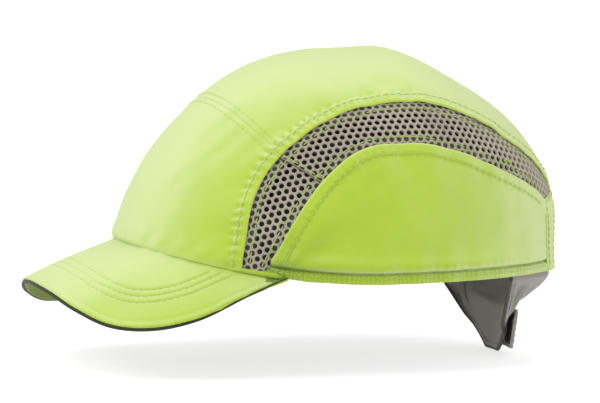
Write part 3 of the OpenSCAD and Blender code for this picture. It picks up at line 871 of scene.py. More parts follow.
PITCH, HR = 3.62, 1.27
sA = float(np.interp(52.8, lamC, SC))
sB = float(np.interp(55.8, lamC, SC))
WUs = float(np.interp(sA, SC, wu)) + 1.5
WLs = float(np.interp(sB, SC, wl)) + 1.5


def plane_at(s, w):
    x = np.array([np.interp(s, SC, XY[:, 0]), np.interp(s, SC, XY[:, 1])])
    ph = float(np.interp(s, SC, PHI))
    return x + w * np.array([-math.sin(ph), math.cos(ph)])


cutA = plane_at(sA, WUs)
cutB = plane_at(sB, -WLs)
cdir = (cutB - cutA) / np.linalg.norm(cutB - cutA)
cnorm = np.array([-cdir[1], cdir[0]])
if (cnorm * (plane_at(sA + 30, 0) - plane_at(sA, 0))).sum() < 0:
    cnorm = -cnorm  # points along the stripe, towards the rear


def hex_net(angle, keep_front):
    """flat hexagonal net with round holes on one side of the cross seam"""
    ca, sn = math.cos(angle), math.sin(angle)
    R = np.array([[ca, -sn], [sn, ca]])
    a1 = R @ np.array([PITCH, 0])
    a2 = R @ np.array([PITCH / 2, PITCH * math.sqrt(3) / 2])
    lo, hi = XY.min(0) - 25, XY.max(0) + 25
    mid = (lo + hi) / 2
    n = int(max(hi - lo) / PITCH) + 8
    ii, jj = np.meshgrid(np.arange(-n, n), np.arange(-n, n), indexing="ij")
    C = mid + ii.reshape(-1, 1) * a1 + jj.reshape(-1, 1) * a2
    C = C[((C > lo) & (C < hi)).all(1)]
    s, w = plane_to_sw(C)
    WU = np.interp(s, SC, wu)
    WL = np.interp(s, SC, wl)
    ok = (w < WU + 2.6) & (w > -WL - 2.6) & (s > SC[0] + 1) & (s < SC[-1] - 1)
    side = ((C - cutA) * cnorm).sum(1)
    ok &= (side < 2.6) if keep_front else (side > -2.6)
    C = C[ok]
    seg = 12
    an = np.arange(seg) * 2 * math.pi / seg + angle
    rad = np.where(np.arange(seg) % 2 == 0, PITCH / 2, PITCH / math.sqrt(3))
    rings = [(rad, np.full(seg, 0.10)), (np.full(seg, HR + 0.29), np.full(seg, 0.06)), (np.full(seg, HR + 0.10), np.full(seg, -0.12)), (np.full(seg, HR), np.full(seg, -0.42)), (np.full(seg, HR - 0.04), np.full(seg, -1.0))]
    V = []
    Hh = []
    F = []
    for c in C:
        b = len(V)
        for rr, hh in rings:
            for k in range(seg):
                V.append((c[0] + rr[k] * math.cos(an[k]), c[1] + rr[k] * math.sin(an[k])))
                Hh.append(hh[k])
        for i in range(len(rings) - 1):
            for k in range(seg):
                m = (k + 1) % seg
                F.append((b + i * seg + k, b + i * seg + m, b + (i + 1) * seg + m, b + (i + 1) * seg + k))
    bm = bmesh.new()
    vs = [bm.verts.new((v[0], v[1], h)) for v, h in zip(V, Hh)]
    for f in F:
        bm.faces.new([vs[i] for i in f])
    bmesh.ops.remove_doubles(bm, verts=bm.verts, dist=0.02)
    co = (float(cutA[0]), float(cutA[1]), 0.0)
    no = (float(cnorm[0]), float(cnorm[1]), 0.0)
    bmesh.ops.bisect_plane(bm, geom=bm.verts[:] + bm.edges[:] + bm.faces[:], dist=1e-5, plane_co=co, plane_no=no, clear_outer=keep_front, clear_inner=not keep_front)
    bm.verts.ensure_lookup_table()
    bm.verts.index_update()
    Vf = np.array([v.co[:] for v in bm.verts])
    Ff = [[v.index for v in f.verts] for f in bm.faces]
    bm.free()
    return Vf, Ff


def heading(lam):
    return float(np.interp(lam, lamC, PHI))


nets = [hex_net(heading(27.0), True), hex_net(heading(97.0), False)]
for side, sx in (("left", 1), ("right", -1)):
    Vall = []
    Fall = []
    UVall = []
    for k, (Vf, Ff) in enumerate(nets):
        s, w = plane_to_sw(Vf[:, :2])
        d = np.abs(((Vf[:, :2] - cutA) * cnorm).sum(1))
        h = Vf[:, 2].copy()
        if k == 0:
            h = h - 0.75 * (1 - smooth(0.0, 2.2, d))
        else:
            h = h + 0.55 * (1 - smooth(0.6, 3.2, d)) - 0.9 * (1 - smooth(0.0, 0.45, d))
        Q = sw_to_3d(s, w, h, sx)
        # the ends tuck under the hem and the rear binding
        base = sum(len(v) for v in Vall)
        Vall.append(Q)
        Fall += [[i + base for i in f] for f in Ff]
        UVall.append(Vf[:, :2])
    Q = np.concatenate(Vall) * np.array([sx, 1, 1])
    inside = Q[:, 2] < hem(Q[:, 1]) - 0.2
    Fk = [f for f in Fall if not all(inside[i] for i in f)]
    ob = make("mesh_stripe_" + side, Q, Fk if sx > 0 else [f[::-1] for f in Fk], NET, np.concatenate(UVall))
    bm = bmesh.new()
    bm.from_mesh(ob.data)
    bmesh.ops.delete(bm, geom=[v for v in bm.verts if not v.link_faces], context="VERTS")
    # trim at the hem with a plane through the hem's local line
    a = hemp(-38.0, 0.3) * np.array([sx, 1, 1])
    b = hemp(-46.0, 0.3) * np.array([sx, 1, 1])
    dr = unit(b - a)
    outw = unit(np.array([a[0], a[1], 0.0]))
    nn = unit(np.cross(dr, outw))
    nn = nn if nn[2] > 0 else -nn
    bmesh.ops.bisect_plane(bm, geom=bm.verts[:] + bm.edges[:] + bm.faces[:], dist=1e-7, plane_co=tuple(a * MM), plane_no=tuple(nn), clear_inner=True)
    bmesh.ops.recalc_face_normals(bm, faces=bm.faces)
    bm.to_mesh(ob.data)
    bm.free()
    ob.data.polygons.foreach_set("use_smooth", [True] * len(ob.data.polygons))
    done(ob, "cap", ["mesh_panel_" + side])


# the hem's lime strip crosses the foot of each mesh stripe
ta = math.degrees(math.atan2(EU[0, 1], EU[0, 0])) - 0.8
tb = math.degrees(math.atan2(EL[0, 1], EL[0, 0])) + 4.5
for side, sx in (("left", 1), ("right", -1)):
    tt = np.linspace(ta, tb, 60)
    zz = np.linspace(-0.1, 1.0, 9)
    rise = 1.9 + 0.9 * np.linspace(0, 1, 60) ** 2
    P = np.stack([hemp(tt, z_ * rise) for z_ in zz], 1)
    N = gnormal(P)
    P = P * np.array([sx, 1, 1])
    N = N * np.array([sx, 1, 1])
    lift = 0.15 + soft(P) + 0.45 * np.sin(math.pi * np.clip(zz, 0, 1)) ** 0.7
    P = P + N * (lift + 0.10 * noise(P, 5, 1))[..., None]
    # painted shade through sh: the strip is darkened a little overall and more towards its upper and lower edges
    done(sheet("mesh_foot_strip_" + side, P, LIME, out=N, thick=1.0, bevel=0.25, attrs={"sd": np.full(lift.shape, 9.0), "sa": np.zeros(lift.shape), "ed": np.full(lift.shape, 4.0), "sh": 0.12 + 0.25 * np.abs(2 * zz[None] - 1) * np.ones(lift.shape)}), "cap")


# ------------------------------------------------------------------ stitching on the crown
def lifted(L, kind, extra=0.0):
    P = resample(L, 0.9)
    N = gnormal(P)
    h = lime_disp(P, kind)[0]
    return P + N * (h + extra)[:, None], N


runs = []
for L in (LU_ST, LU_ST * MIR):
    runs.append(lifted(L, "crown", 0.16))
done(stitch_mesh("crown_topstitch", runs, THREAD, r=0.21, length=2.6), "cap")
runs = [lifted(L, "front", 0.04) for L in (F1, F2)]
done(stitch_mesh("front_seam_topstitch", runs, THREAD, r=0.17, length=2.5), "cap")
runs = []
for sx in (1, -1):
    P, N = lifted(LL_ST, "side", 0.14)
    M = np.array([sx, 1, 1])
    runs.append((P * M, N * M))
done(stitch_mesh("side_topstitch", runs, THREAD, r=0.21, length=2.6), "cap")
# hem stitching, side panels only, short gathers
runs = []
for sx in (1, -1):
    a = np.linspace(58.5, -36, 700)
    P = hemp(a, HS - 0.6)
    N = gnormal(P)
    h = lime_disp(P, "side")[0]
    M = np.array([sx, 1, 1])
    runs.append(((P + N * (h + 0.0)[:, None]) * M, N * M))
done(stitch_mesh("hem_topstitch", runs, THREAD, pitch=3.0, length=2.2, r=0.19), "cap")
# thread on the mesh stripes, inside both borders, and over the cross seam
runs = []
for sx in (1, -1):
    M = np.array([sx, 1, 1])
    for which in (1, -1):
        s = np.linspace(SC[0] + 8, SC[-1] - 7, 900)
        w = np.interp(s, SC, wu) - 3.3 if which > 0 else -np.interp(s, SC, wl) + 3.3
        P = sw_to_3d(s, w, np.full(len(s), 0.10), sx)
        ok = (P[:, 2] > hem(P[:, 1]) + 1) & ~((P[:, 1] > 0) & (P[:, 2] < btop(P[:, 0]) + 1))
        P = P[ok]
        runs.append((P * M, gnormal(P) * M))
    q = cutA[None] + (cutB - cutA)[None] * np.linspace(0.06, 0.94, 60)[:, None] + cnorm[None] * 1.5
    s, w = plane_to_sw(q)
    P = sw_to_3d(s, w, np.full(len(s), 0.5), sx)
    runs.append((P * M, gnormal(P) * M))
done(stitch_mesh("mesh_topstitch", runs, THREAD_M, pitch=3.2, length=2.5, r=0.26), "cap")
# rolled fold on the cross seam, in the darker mesh knit that paints the fold's shade
for side, sx in (("left", 1), ("right", -1)):
    q = cutA[None] + (cutB - cutA)[None] * np.linspace(0.0, 1.0, 60)[:, None] + cnorm[None] * 0.25
    s, w = plane_to_sw(q)
    P = sw_to_3d(s, w, np.full(len(s), 0.06), sx) * np.array([sx, 1, 1])
    done(tube("mesh_seam_fold_" + side, P, 0.36, NET_FOLD_SHADED, up=gnormal(P), flat=0.7), "cap")
# short bar of thread near the stripe's rear end
runs = []
for sx in (1, -1):
    M = np.array([sx, 1, 1])
    for k in range(3):
        s0 = float(np.interp(138.0, lamC, SC))
        s = np.linspace(s0 - 2.6, s0 + 2.6, 30)
        w = -np.interp(s, SC, wl) + 5.4 + 0.40 * k + 0.16 * (s - s0)
        P = sw_to_3d(s, w, np.full(len(s), 0.32), sx)
        runs.append((P * M, gnormal(P) * M))
done(stitch_mesh("mesh_bar_tack", runs, THREAD_M, pitch=2.5, length=2.4, r=0.22), "cap")

# ------------------------------------------------------------------ rear binding
def bind_paths(n1=26, n2=90):
    z1 = np.linspace(0, 1, n1, endpoint=False)
    bw = BW + 1.9
    out = [np.stack([np.full(n1, bw), (BH - 1.4) * z1], -1)]
    xs = bw * (1 - 2 * np.linspace(0, 1, n2))
    out.append(np.stack([xs, btop(np.clip(xs, -BW, BW)) - 1.1], -1))
    out.append(np.stack([np.full(n1, -bw), (BH - 1.4) * z1[::-1]], -1))
    zi = OH * 0.78 * z1
    sx = OW * (1 - (zi / OH) ** 4.5) ** (1 / 4.5)
    x0 = OW * (1 - 0.78 ** 4.5) ** (1 / 4.5)
    xi = x0 * (1 - 2 * np.linspace(0, 1, n2))
    inn = [np.stack([sx, zi], -1), np.stack([xi, OH * (1 - (np.abs(xi) / OW) ** 4.5) ** (1 / 4.5)], -1), np.stack([-sx[::-1], zi[::-1]], -1)]
    return np.concatenate(out), np.concatenate(inn)


bo, bi = bind_paths()
v = np.linspace(0, 1, 15)
M2 = bo[:, None] + (bi - bo)[:, None] * v[None, :, None]
P = rp(M2[..., 0], M2[..., 1], 0.0)
N = gnormal(P)
s = arc(P[:, 7])
wid = np.linalg.norm(P[:, -1] - P[:, 0], axis=-1)
dd = v[None] * wid[:, None]
e = np.minimum(dd, wid[:, None] - dd)
h = 0.52 + soft(P)
h = h - 0.60 * (1 - smooth(0, 1.4, e))
h = h - 0.45 * np.exp(-((dd - 2.4) / 0.6) ** 2) - 0.45 * np.exp(-((dd - wid[:, None] + 2.4) / 0.6) ** 2)
h = h + 0.22 * np.sin(2 * math.pi * s / 5.0)[:, None] * np.exp(-(e - 2) ** 2 / 5) * (0.6 + 0.4 * noise(P, 20, 3))
P = P + N * (h + flare(P))[..., None]
ob = sheet("rear_binding_cloth", P, LIME, out=N, thick=1.5, attrs={"sd": np.minimum(np.abs(dd - 2.4), np.abs(dd - wid[:, None] + 2.4)), "sa": np.repeat(s[:, None], len(v), 1), "ed": e})
done(ob, "cap", ["rear_binding"])
runs = []
for k in (2.4, -2.4):
    f = (k if k > 0 else wid + k) / wid
    x = bo[:, 0] + (bi - bo)[:, 0] * f
    z = bo[:, 1] + (bi - bo)[:, 1] * f
    q = rp(x, z, 0.0)
    n = gnormal(q)
    q = q + n * (0.50 + soft(q) + flare(q))[:, None]
    q = q[2:-2]
    runs.append((resample(q, 0.9), np.stack([np.interp(arc(resample(q, 0.9)), arc(q), n[2:-2, i]) for i in range(3)], -1)))
done(stitch_mesh("binding_topstitch", runs, THREAD, pitch=3.2, length=2.4, r=0.25), "cap")

# ------------------------------------------------------------------ tapes inside
def hem_grid(th0, th1, n, z0, z1, nz, t):
    th = np.linspace(th0, th1, n)
    z = np.linspace(z0, z1, nz)
    return np.stack([hemp(th, zz, t) for zz in z], 1)


P = hem_grid(58, -238, 420, 0.2, 6.5, 8, FT + 0.25)
N = gnormal(P)
ob = sheet("hem_tape_cloth", P, GREY, out=N, thick=0.6, bevel=0.2)
done(ob, "cap", ["hem_tape"])
k = np.linspace(float(ku(SEAM)) + 4.5, 175.5 - float(ku(SEAM)), 160)
P = np.stack([cp(SEAM + a, k, FT + 0.25) for a in np.linspace(-3, 3, 7)], 1)
done(sheet("front_seam_tape_cloth", P, GREY, out=gnormal(P), thick=0.6, bevel=0.2), "cap", ["front_seam_tape"])
for side, sx in (("left", 1), ("right", -1)):
    first = True
    for nm, fn in (("upper", ku), ("lower", kl)):
        lam = np.linspace(13, 154, 260)
        P = np.stack([cp(lam, fn(lam) + a, FT + 0.3) for a in np.linspace(-2.4, 2.4, 6)], 1) * np.array([sx, 1, 1])
        ob = sheet("stripe_tape_%s_%s" % (nm, side), P, GREY, out=gnormal(P), thick=0.5, bevel=0.2)
        done(ob, "cap", ["stripe_tape_" + side] if first else ())
        first = False

# ------------------------------------------------------------------ brim
def brim_surface(u, v):
    a = np.abs(u)
    th1 = math.degrees(math.atan2(-51.5, 78.3))
    th = -90 + (th1 + 90) * a
    p = hemp(th, 0.0, 0.6) - np.array([0, 0, 0.6])
    ext = np.concatenate([[BRIM[1] * np.array([-1, 1, 1])], BRIM])
    q = crv(ext, 7 * a ** 1.05 + 1)
    m = p[:, None] + (q - p)[:, None] * v[None, :, None]
    m[..., 2] += 1.6 * np.sin(math.pi * v)[None] * (1 - a * a)[:, None]
    # the tips draw up against the hem
    tip = smooth(0.74, 1.0, a)[:, None] * v[None]
    m[..., 2] += 2.4 * tip
    m[..., 1] += -0.8 * tip
    m[..., 0] *= np.sign(u)[:, None]
    return m


T1 = 0.8
T2 = 0.92
T3 = 2.12
T4 = 2.24
UB = np.linspace(-1, 1, 301)
UB[150] = 1e-9
VB = np.concatenate([np.linspace(0, 0.9, 60, endpoint=False), np.linspace(0.9, 1.0, 14)])
BP = brim_surface(UB, VB)
BN = grid_normals(BP)
if BN[..., 2].mean() < 0:
    BN = -BN
_th = -90 + (math.degrees(math.atan2(-51.5, 78.3)) + 90) * np.abs(UB)


def tucked(Q, rise, depth, n=5):
    """carry the inner edge up behind the front panel"""
    k = np.linspace(1, 0, n, endpoint=False)
    rows = []
    for a in k:
        r = hemp(_th, rise * a ** 1.4, 0.6 + depth * a ** 0.7)
        r[:, 0] *= np.sign(UB)
        r[:, 2] -= 0.6 * (1 - a)
        rows.append(r + (Q[:, 0] - BP[:, 0]) * (1 - a))
    return np.concatenate([np.stack(rows, 1), Q], 1)


def padded(A, n=5):
    return np.concatenate([np.repeat(A[:, :1], n, 1), A], 1)


EDGE = BP[:, -1]
dE, sE = nearest(BP, resample(EDGE, 0.6), arc(resample(EDGE, 0.6)))
dI, sI = nearest(BP, resample(BP[:, 0], 0.6), arc(resample(BP[:, 0], 0.6)))
ROWS = [14.5, 18.4, 22.3]
ROWD = np.min([np.abs(dE - r) for r in ROWS], 0)


def brim_disp(dE, sE, dI, P):
    h = 0.28 * noise(P, 46, 0) + 0.12 * noise(P, 18, 1)
    fade = (0.35 + 0.65 * smooth(0.12, 0.5, np.abs(UB)))[:, None]
    for r in ROWS:
        h = h - 0.26 * fade * np.exp(-((dE - r) / 0.55) ** 2) * smooth(0, 5, dI)
    h = h + 0.10 * np.exp(-((dE - 1.4) / 1.4) ** 2)
    h = h - 0.12 * np.exp(-((dE - 3.4) / 1.2) ** 2)
    h = h - 0.7 * (1 - smooth(0, 0.8, dE))
    h = h + 0.16 * np.exp(-dI / 7.0) * noise(np.stack([sE, dI * 0.3, 0 * dI], -1), 11, 4)
    return h


hb = brim_disp(dE, sE, dI, BP)
BT = tucked(BP + BN * hb[..., None], 3.2, 1.0)
ob = sheet("brim_cover_top_cloth", BT, LIME, out=padded(BN), thick=0.85, bevel=0.25, attrs={"sd": padded(ROWD + 6 * (1 - smooth(0, 4, dI)) + (1.2 * (1 - smooth(0.12, 0.45, np.abs(UB))))[:, None]), "sa": padded(sE), "ed": padded(dE)})
done(ob, "cap", ["brim_cover_top"])
TP = (1 - 0.72 * smooth(0.62, 1.0, np.abs(UB)))[:, None, None]
BQ = BP - BN * T4 * TP
hu = 0.2 * noise(BQ, 40, 2) - 0.55 * (1 - smooth(0, 0.8, dE))
for r in ROWS:
    hu = hu - 0.25 * np.exp(-((dE - r) / 0.55) ** 2)
ob = sheet("brim_cover_under_cloth", BQ - BN * TP * (0.8 + hu)[..., None], LIME_UNDER_SHADED, out=-BN, thick=0.8, bevel=0.25, attrs={"sd": ROWD, "sa": sE, "ed": dE})
done(ob, "cap", ["brim_cover_under"])
# dark welt between the covers
W0 = brim_surface(UB, np.array([1.0]))[:, 0] - BN[:, -1] * TP[:, 0] * ((T2 + T3) / 2)
outw = unit(BP[:, -1] - BP[:, -3])
ob = tube("brim_edge_welt", W0 + outw * 0.28, 0.36 + 0.60 * (TP[:, 0, 0] - 0.28) / 0.72, TRIM, seg=12, flat=0.95, up=BN[:, -1], taper=True)
done(ob, "cap", ["brim_edge_trim"])
bo2 = brim_surface(UB[9:-9:3], np.linspace(0.03, 0.965, 12))
nb2 = grid_normals(bo2)
nb2 = nb2 * np.sign(nb2[..., 2].mean())
ob = sheet("brim_board_sheet", bo2 - nb2 * T2, BOARD, out=nb2, thick=1.15, bevel=0.2)
done(ob, "cap", ["brim_board"])
runs = []
for r in ROWS:
    # contour of the distance to the edge, by walking each brim column
    pts = []
    nrm = []
    for i in range(len(UB)):
        d = dE[i]
        j = np.where((d[:-1] >= r) & (d[1:] < r))[0]
        if len(j) == 0:
            continue
        j = j[-1]
        f = (d[j] - r) / (d[j] - d[j + 1])
        if lerp(dI[i, j], dI[i, j + 1], f) < 1.5:
            continue
        pts.append(lerp(BP[i, j] + BN[i, j] * hb[i, j], BP[i, j + 1] + BN[i, j + 1] * hb[i, j + 1], f))
        pts[-1] = pts[-1] - BN[i, j] * 0.14 * (1 - smooth(0.12, 0.5, abs(UB[i])))
        nrm.append(BN[i, j])
    pts = np.array(pts)
    nrm = np.array(nrm)
    rs = resample(pts, 0.9)
    runs.append((rs + np.array([0, 0, 0.02]), np.stack([np.interp(arc(rs), arc(pts), nrm[:, k]) for k in range(3)], -1)))
done(stitch_mesh("brim_topstitch", runs, THREAD, pitch=3.3, length=2.6, r=0.20), "cap")

# ------------------------------------------------------------------ sweatband
TH = np.linspace(64, -244, 520)
zr = np.linspace(0, 1, 22)
SB0, SB1 = FT + 1.1, FT + 3.5
rows = []
for zz in zr:
    bul = (1 - (2 * zz - 1) ** 6)
    rows.append(hemp(TH, 2.4 + zz * 27.6, 0.0))
P = np.stack(rows, 1)
N = gnormal(P)
zz = zr[None] * np.ones((len(TH), 1))
inner_t = SB1 - 0.25 - 0.8 * (1 - smooth(0.0, 0.06, zz)) - 0.8 * (1 - smooth(0.0, 0.06, 1 - zz))
s = arc(P[:, 10])
quilt = 0.30 * np.cos(2 * math.pi * zz * 3) + 0.12 * noise(P, 9, 2)
inner_t = inner_t + 0.25 * noise(P, 26, 3) - 0.45 * np.exp(-((zz - 0.5) / 0.03) ** 2) + 0.12 * quilt
Pin = P - N * inner_t[..., None]
ob = sheet("sweatband_towelling", Pin, TERRY, out=-N, thick=1.7, bevel=0.5, attrs={"sd": np.abs(zz - 0.5) * 27, "sa": np.repeat(s[:, None], 22, 1), "ed": np.minimum(zz, 1 - zz) * 27})
done(ob, "cap", ["sweatband"])
runs = []
for fz in (0.09, 0.5, 0.91):
    q = hemp(TH, 2.4 + fz * 27.6, 0.0)
    n = gnormal(q)
    q = q - n * (SB1 - 0.05)
    runs.append((resample(q, 1.0), -np.stack([np.interp(arc(resample(q, 1.0)), arc(q), n[:, k]) for k in range(3)], -1)))
THREAD_G = cloth("grey_thread", rgb(150, 150, 148), rgb(128, 128, 126), rgb(70, 70, 70), weave=0.5, rough=0.55, sheen=0.3, wb=0.00004)
done(stitch_mesh("sweatband_stitch", runs, THREAD_G, pitch=3.6, length=2.6, r=0.24), "cap")

# ------------------------------------------------------------------ liner
SH0 = FT + 1.0 + 1.3 + 0.6 + 1.3 + 0.2
ST = 2.2
FO0 = SH0 + ST + 0.8
FOT = 4.6
SCN = np.array([0.0, 12.0, 4.0])


def shell_low(y):
    return np.where(y < 0, 17 + 14 * (np.abs(y) / 107) ** 2, 17 + 31 * (0.5 - 0.5 * np.cos(math.pi * np.clip((y - 2) / 72, 0, 1))))


def shell_grid(t, n=192, m=60):
    th = np.radians(np.linspace(0, 360, n, endpoint=False))
    a = np.full(n, -5.0)
    b = np.full(n, 70.0)
    for _ in range(16):
        c = (a + b) / 2
        e = np.radians(c)
        p = cast(np.stack([np.cos(th) * np.cos(e), np.sin(th) * np.cos(e), np.sin(e)], -1), SH0, SCN)
        hi = p[:, 2] > shell_low(p[:, 1])
        b = np.where(hi, c, b)
        a = np.where(hi, a, c)
    e0 = (a + b) / 2
    v = np.linspace(0, 1, m)
    E = np.radians(e0[:, None] + (89.6 - e0)[:, None] * v[None] ** 0.9)
    d = np.stack([np.cos(th)[:, None] * np.cos(E), np.sin(th)[:, None] * np.cos(E), np.sin(E)], -1)
    return cast(d, t, SCN), np.degrees(E), np.degrees(th)


SG, SE, STH = shell_grid(SH0 + 0.02)
SN = gnormal(SG)
rib = np.zeros(SG.shape[:-1])
for c in range(0, 360, 30):
    dth = (STH[:, None] - c + 180) % 360 - 180
    arcd = np.radians(dth) * np.linalg.norm(SG[..., :2] - SCN[:2], axis=-1)
    rib = np.maximum(rib, np.exp(-(arcd / 2.2) ** 4) * smooth(0.04, 0.12, np.linspace(0, 1, 60))[None] * (1 - smooth(0.62, 0.72, np.linspace(0, 1, 60)))[None])
zs = np.linspace(0, 1, 60)[None] * np.ones((192, 1))
rim = 1 - smooth(0.0, 0.05, zs)
SGd = SG + SN * (-0.25 + 0.3 * (1 - rib) * 0 + 0.25 * rib)[..., None]
# vents between the ribs: rounded slots left open
n, m = SG.shape[:2]
cut = np.zeros((n, m - 1), bool)
Q = SGd.copy()
for c in range(12):
    i0 = int(round((c * 30 + 15) / 360 * n))
    for (j0, j1, hw) in ((16, 25, 4), (30, 38, 3)):
        ic = (i0) % n
        for di in range(-hw, hw):
            for j in range(j0, j1):
                cut[(ic + di) % n, j] = True
        # round the slot's corners by pulling the border points in
        jc, jh = (j0 + j1) / 2, (j1 - j0) / 2
        for di in range(-hw - 2, hw + 3):
            for j in range(j0 - 2, j1 + 3):
                a, b = di / hw, (j - jc) / jh
                rr = max(abs(a), abs(b))
                if rr < 0.5 or rr > 1.6:
                    continue
                k = (abs(a) ** 3.2 + abs(b) ** 3.2) ** (1 / 3.2)
                f = rr / k
                w = 1 - abs(rr - 1) / 0.62
                if w <= 0:
                    continue
                f = 1 + (f - 1) * w
                ti = a * f * hw
                tj = jc + b * f * jh
                i1 = int(math.floor(ti))
                j1f = int(math.floor(tj))
                fi, fj = ti - i1, tj - j1f
                A = SGd[(ic + i1) % n, j1f] * (1 - fi) * (1 - fj) + SGd[(ic + i1 + 1) % n, j1f] * fi * (1 - fj) + SGd[(ic + i1) % n, min(j1f + 1, m - 1)] * (1 - fi) * fj + SGd[(ic + i1 + 1) % n, min(j1f + 1, m - 1)] * fi * fj
                Q[(ic + di) % n, j] = A
F = grid_faces(n, m, wrap=True)
keep = ~cut.reshape(-1)
F = F[keep]
top = len(Q.reshape(-1, 3))
Vs = np.concatenate([Q.reshape(-1, 3), [cast(np.array([[0, 0, 1.0]]), SH0, SCN)[0]]])
F = [tuple(f) for f in F] + [(i * m + m - 1, ((i + 1) % n) * m + m - 1, top) for i in range(n)]
nrm = np.cross(Vs[F[0][1]] - Vs[F[0][0]], Vs[F[0][2]] - Vs[F[0][0]])
if (nrm * (Vs[F[0][0]] - SCN)).sum() < 0:
    F = [f[::-1] for f in F]
ob = make("liner_shell", Vs, F, SHELL, np.zeros((len(Vs), 2)))
md = ob.modifiers.new("thick", "SOLIDIFY")
md.thickness = ST * MM
md.offset = -1
md = ob.modifiers.new("round", "BEVEL")
md.width = 0.5 * MM
md.segments = 2
md.limit_method = "ANGLE"
md.angle_limit = math.radians(55)
done(ob, "liner", ["protective_shell"])


def pad_points(l0, l1, k0, k1, t, n=46):
    a = np.linspace(-1, 1, n)
    A, B = np.meshgrid(a, a, indexing="ij")
    c = 0.17
    u = A * (1 - c * B * B)
    v = B * (1 - c * A * A)
    return cp(l0 + (l1 - l0) * (u + 1) / 2, k0 + (k1 - k0) * (v + 1) / 2, t)


def closed_slab(A, B):
    nu, nv = A.shape[:2]
    n = nu * nv
    V = np.concatenate([A.reshape(-1, 3), B.reshape(-1, 3)])
    F = [tuple(f) for f in grid_faces(nu, nv)] + [tuple(f + n) for f in grid_faces(nu, nv, flip=True)]
    ring = [i * nv for i in range(nu)] + [(nu - 1) * nv + j for j in range(1, nv)] + [i * nv + nv - 1 for i in range(nu - 2, -1, -1)] + [j for j in range(nv - 2, 0, -1)]
    for a, b in zip(ring, ring[1:] + ring[:1]):
        F.append((a, a + n, b + n, b))
    return V, F


def simulate(ob, cap, frames=20, voxel=0.0028):
    """swell a padded piece with cloth under pressure, then keep the result"""
    me0 = ob.data
    bpy.context.view_layer.objects.active = ob
    for o in bpy.context.selected_objects:
        o.select_set(False)
    ob.select_set(True)
    rm = ob.modifiers.new("remesh", "REMESH")
    rm.mode = "VOXEL"
    rm.voxel_size = voxel
    bpy.ops.object.modifier_apply(modifier=rm.name)
    rest = np.array([v.co[:] for v in ob.data.vertices])
    cl = ob.modifiers.new("cloth", "CLOTH")
    st = cl.settings
    st.quality = 6
    st.mass = 0.25
    st.use_pressure = True
    st.uniform_pressure_force = 4.0
    st.tension_stiffness = 18
    st.compression_stiffness = 18
    st.shear_stiffness = 8
    st.bending_stiffness = 2.5
    st.effector_weights.gravity = 0
    cl.collision_settings.use_collision = False
    cl.point_cache.frame_start = 1
    cl.point_cache.frame_end = frames
    for f in range(1, frames + 1):
        scene.frame_set(f)
    dg = bpy.context.evaluated_depsgraph_get()
    ev = ob.evaluated_get(dg)
    new = np.array([v.co[:] for v in ev.data.vertices])
    ob.modifiers.remove(cl)
    d = new - rest
    L = np.linalg.norm(d, axis=1, keepdims=True)
    d = d * np.minimum(1, cap / np.maximum(L, 1e-9))
    co = rest + d
    ob.data.vertices.foreach_set("co", co.ravel().astype(np.float32))
    ob.data.update()
    scene.frame_set(1)
    return ob


PADS = [("front", 24, 52, 60, 120, "foam_pad_front"), ("crown", 58, 124, 67, 113, "foam_pad_crown"), ("left", 46, 118, 24, 61, "foam_pad_left"), ("rear", 131, 150, 66, 114, "foam_pad_rear")]


def finish_pad(ob, node, body="liner"):
    ob.data.materials.clear()
    ob.data.materials.append(PADC)
    ob.data.polygons.foreach_set("use_smooth", [True] * len(ob.data.polygons))
    me = ob.data
    if not me.uv_layers:
        me.uv_layers.new(name="uvm")
    lay = me.uv_layers[0]
    lay.name = "uvm"
    co = np.array([v.co[:] for v in me.vertices]) * 1000
    idx = np.empty(len(me.loops), int)
    me.loops.foreach_get("vertex_index", idx)
    uvv = np.stack([co[:, 0] + 0.3 * co[:, 2], co[:, 1] + 0.2 * co[:, 2]], -1)[idx]
    lay.data.foreach_set("uv", uvv.astype(np.float32).ravel())
    md = ob.modifiers.new("sub", "SUBSURF")
    md.levels = md.render_levels = 1
    done(ob, body, [node])


for nm, a0, a1, b0, b1, node in PADS:
    dl = 0.03 * (a1 - a0)
    dk = 0.03 * (b1 - b0)
    A = pad_points(a0 + dl, a1 - dl, b0 + dk, b1 - dk, FO0 + 0.35)
    B = pad_points(a0 + dl, a1 - dl, b0 + dk, b1 - dk, FO0 + FOT - 0.9)
    V, F = closed_slab(A, B)
    ob = make("foam_pad_%s_cloth" % nm, V, F)
    bm = bmesh.new()
    bm.from_mesh(ob.data)
    bmesh.ops.recalc_face_normals(bm, faces=bm.faces)
    bm.to_mesh(ob.data)
    bm.free()
    simulate(ob, 0.0022)
    # keep the pad off the shell
    co = np.array([v.co[:] for v in ob.data.vertices]) * 1000
    over = G(co, FO0 + 0.05) > 0
    if over.any():
        co[over] = onto(co[over], FO0 + 0.05)
        ob.data.vertices.foreach_set("co", (co * MM).ravel().astype(np.float32))
    if nm == "left":
        me = ob.data.copy()
        co = np.array([v.co[:] for v in me.vertices]) * np.array([-1, 1, 1])
        me.vertices.foreach_set("co", co.ravel().astype(np.float32))
        me.flip_normals()
        ob2 = link(bpy.data.objects.new("foam_pad_right_cloth", me))
        finish_pad(ob2, "foam_pad_right")
    finish_pad(ob, node)
    # sewn edge around the pad
    E = pad_points(a0 + dl * 2.2, a1 - dl * 2.2, b0 + dk * 2.2, b1 - dk * 2.2, FO0 + FOT + 0.5, 60)
    loop = np.concatenate([E[:, 0], E[-1, 1:], E[-2::-1, -1], E[0, -2:0:-1]])
    loop = np.concatenate([loop, loop[:1]])
    rs = resample(loop, 1.0)
    nn = -gnormal(rs)
    names = [("foam_pad_%s_stitch" % nm, 1)] + ([("foam_pad_right_stitch", -1)] if nm == "left" else [])
    for nme, sx in names:
        Mx = np.array([sx, 1, 1])
        done(stitch_mesh(nme, [(rs * Mx, nn * Mx)], THREAD_G, pitch=3.4, length=2.5, r=0.26), "liner")

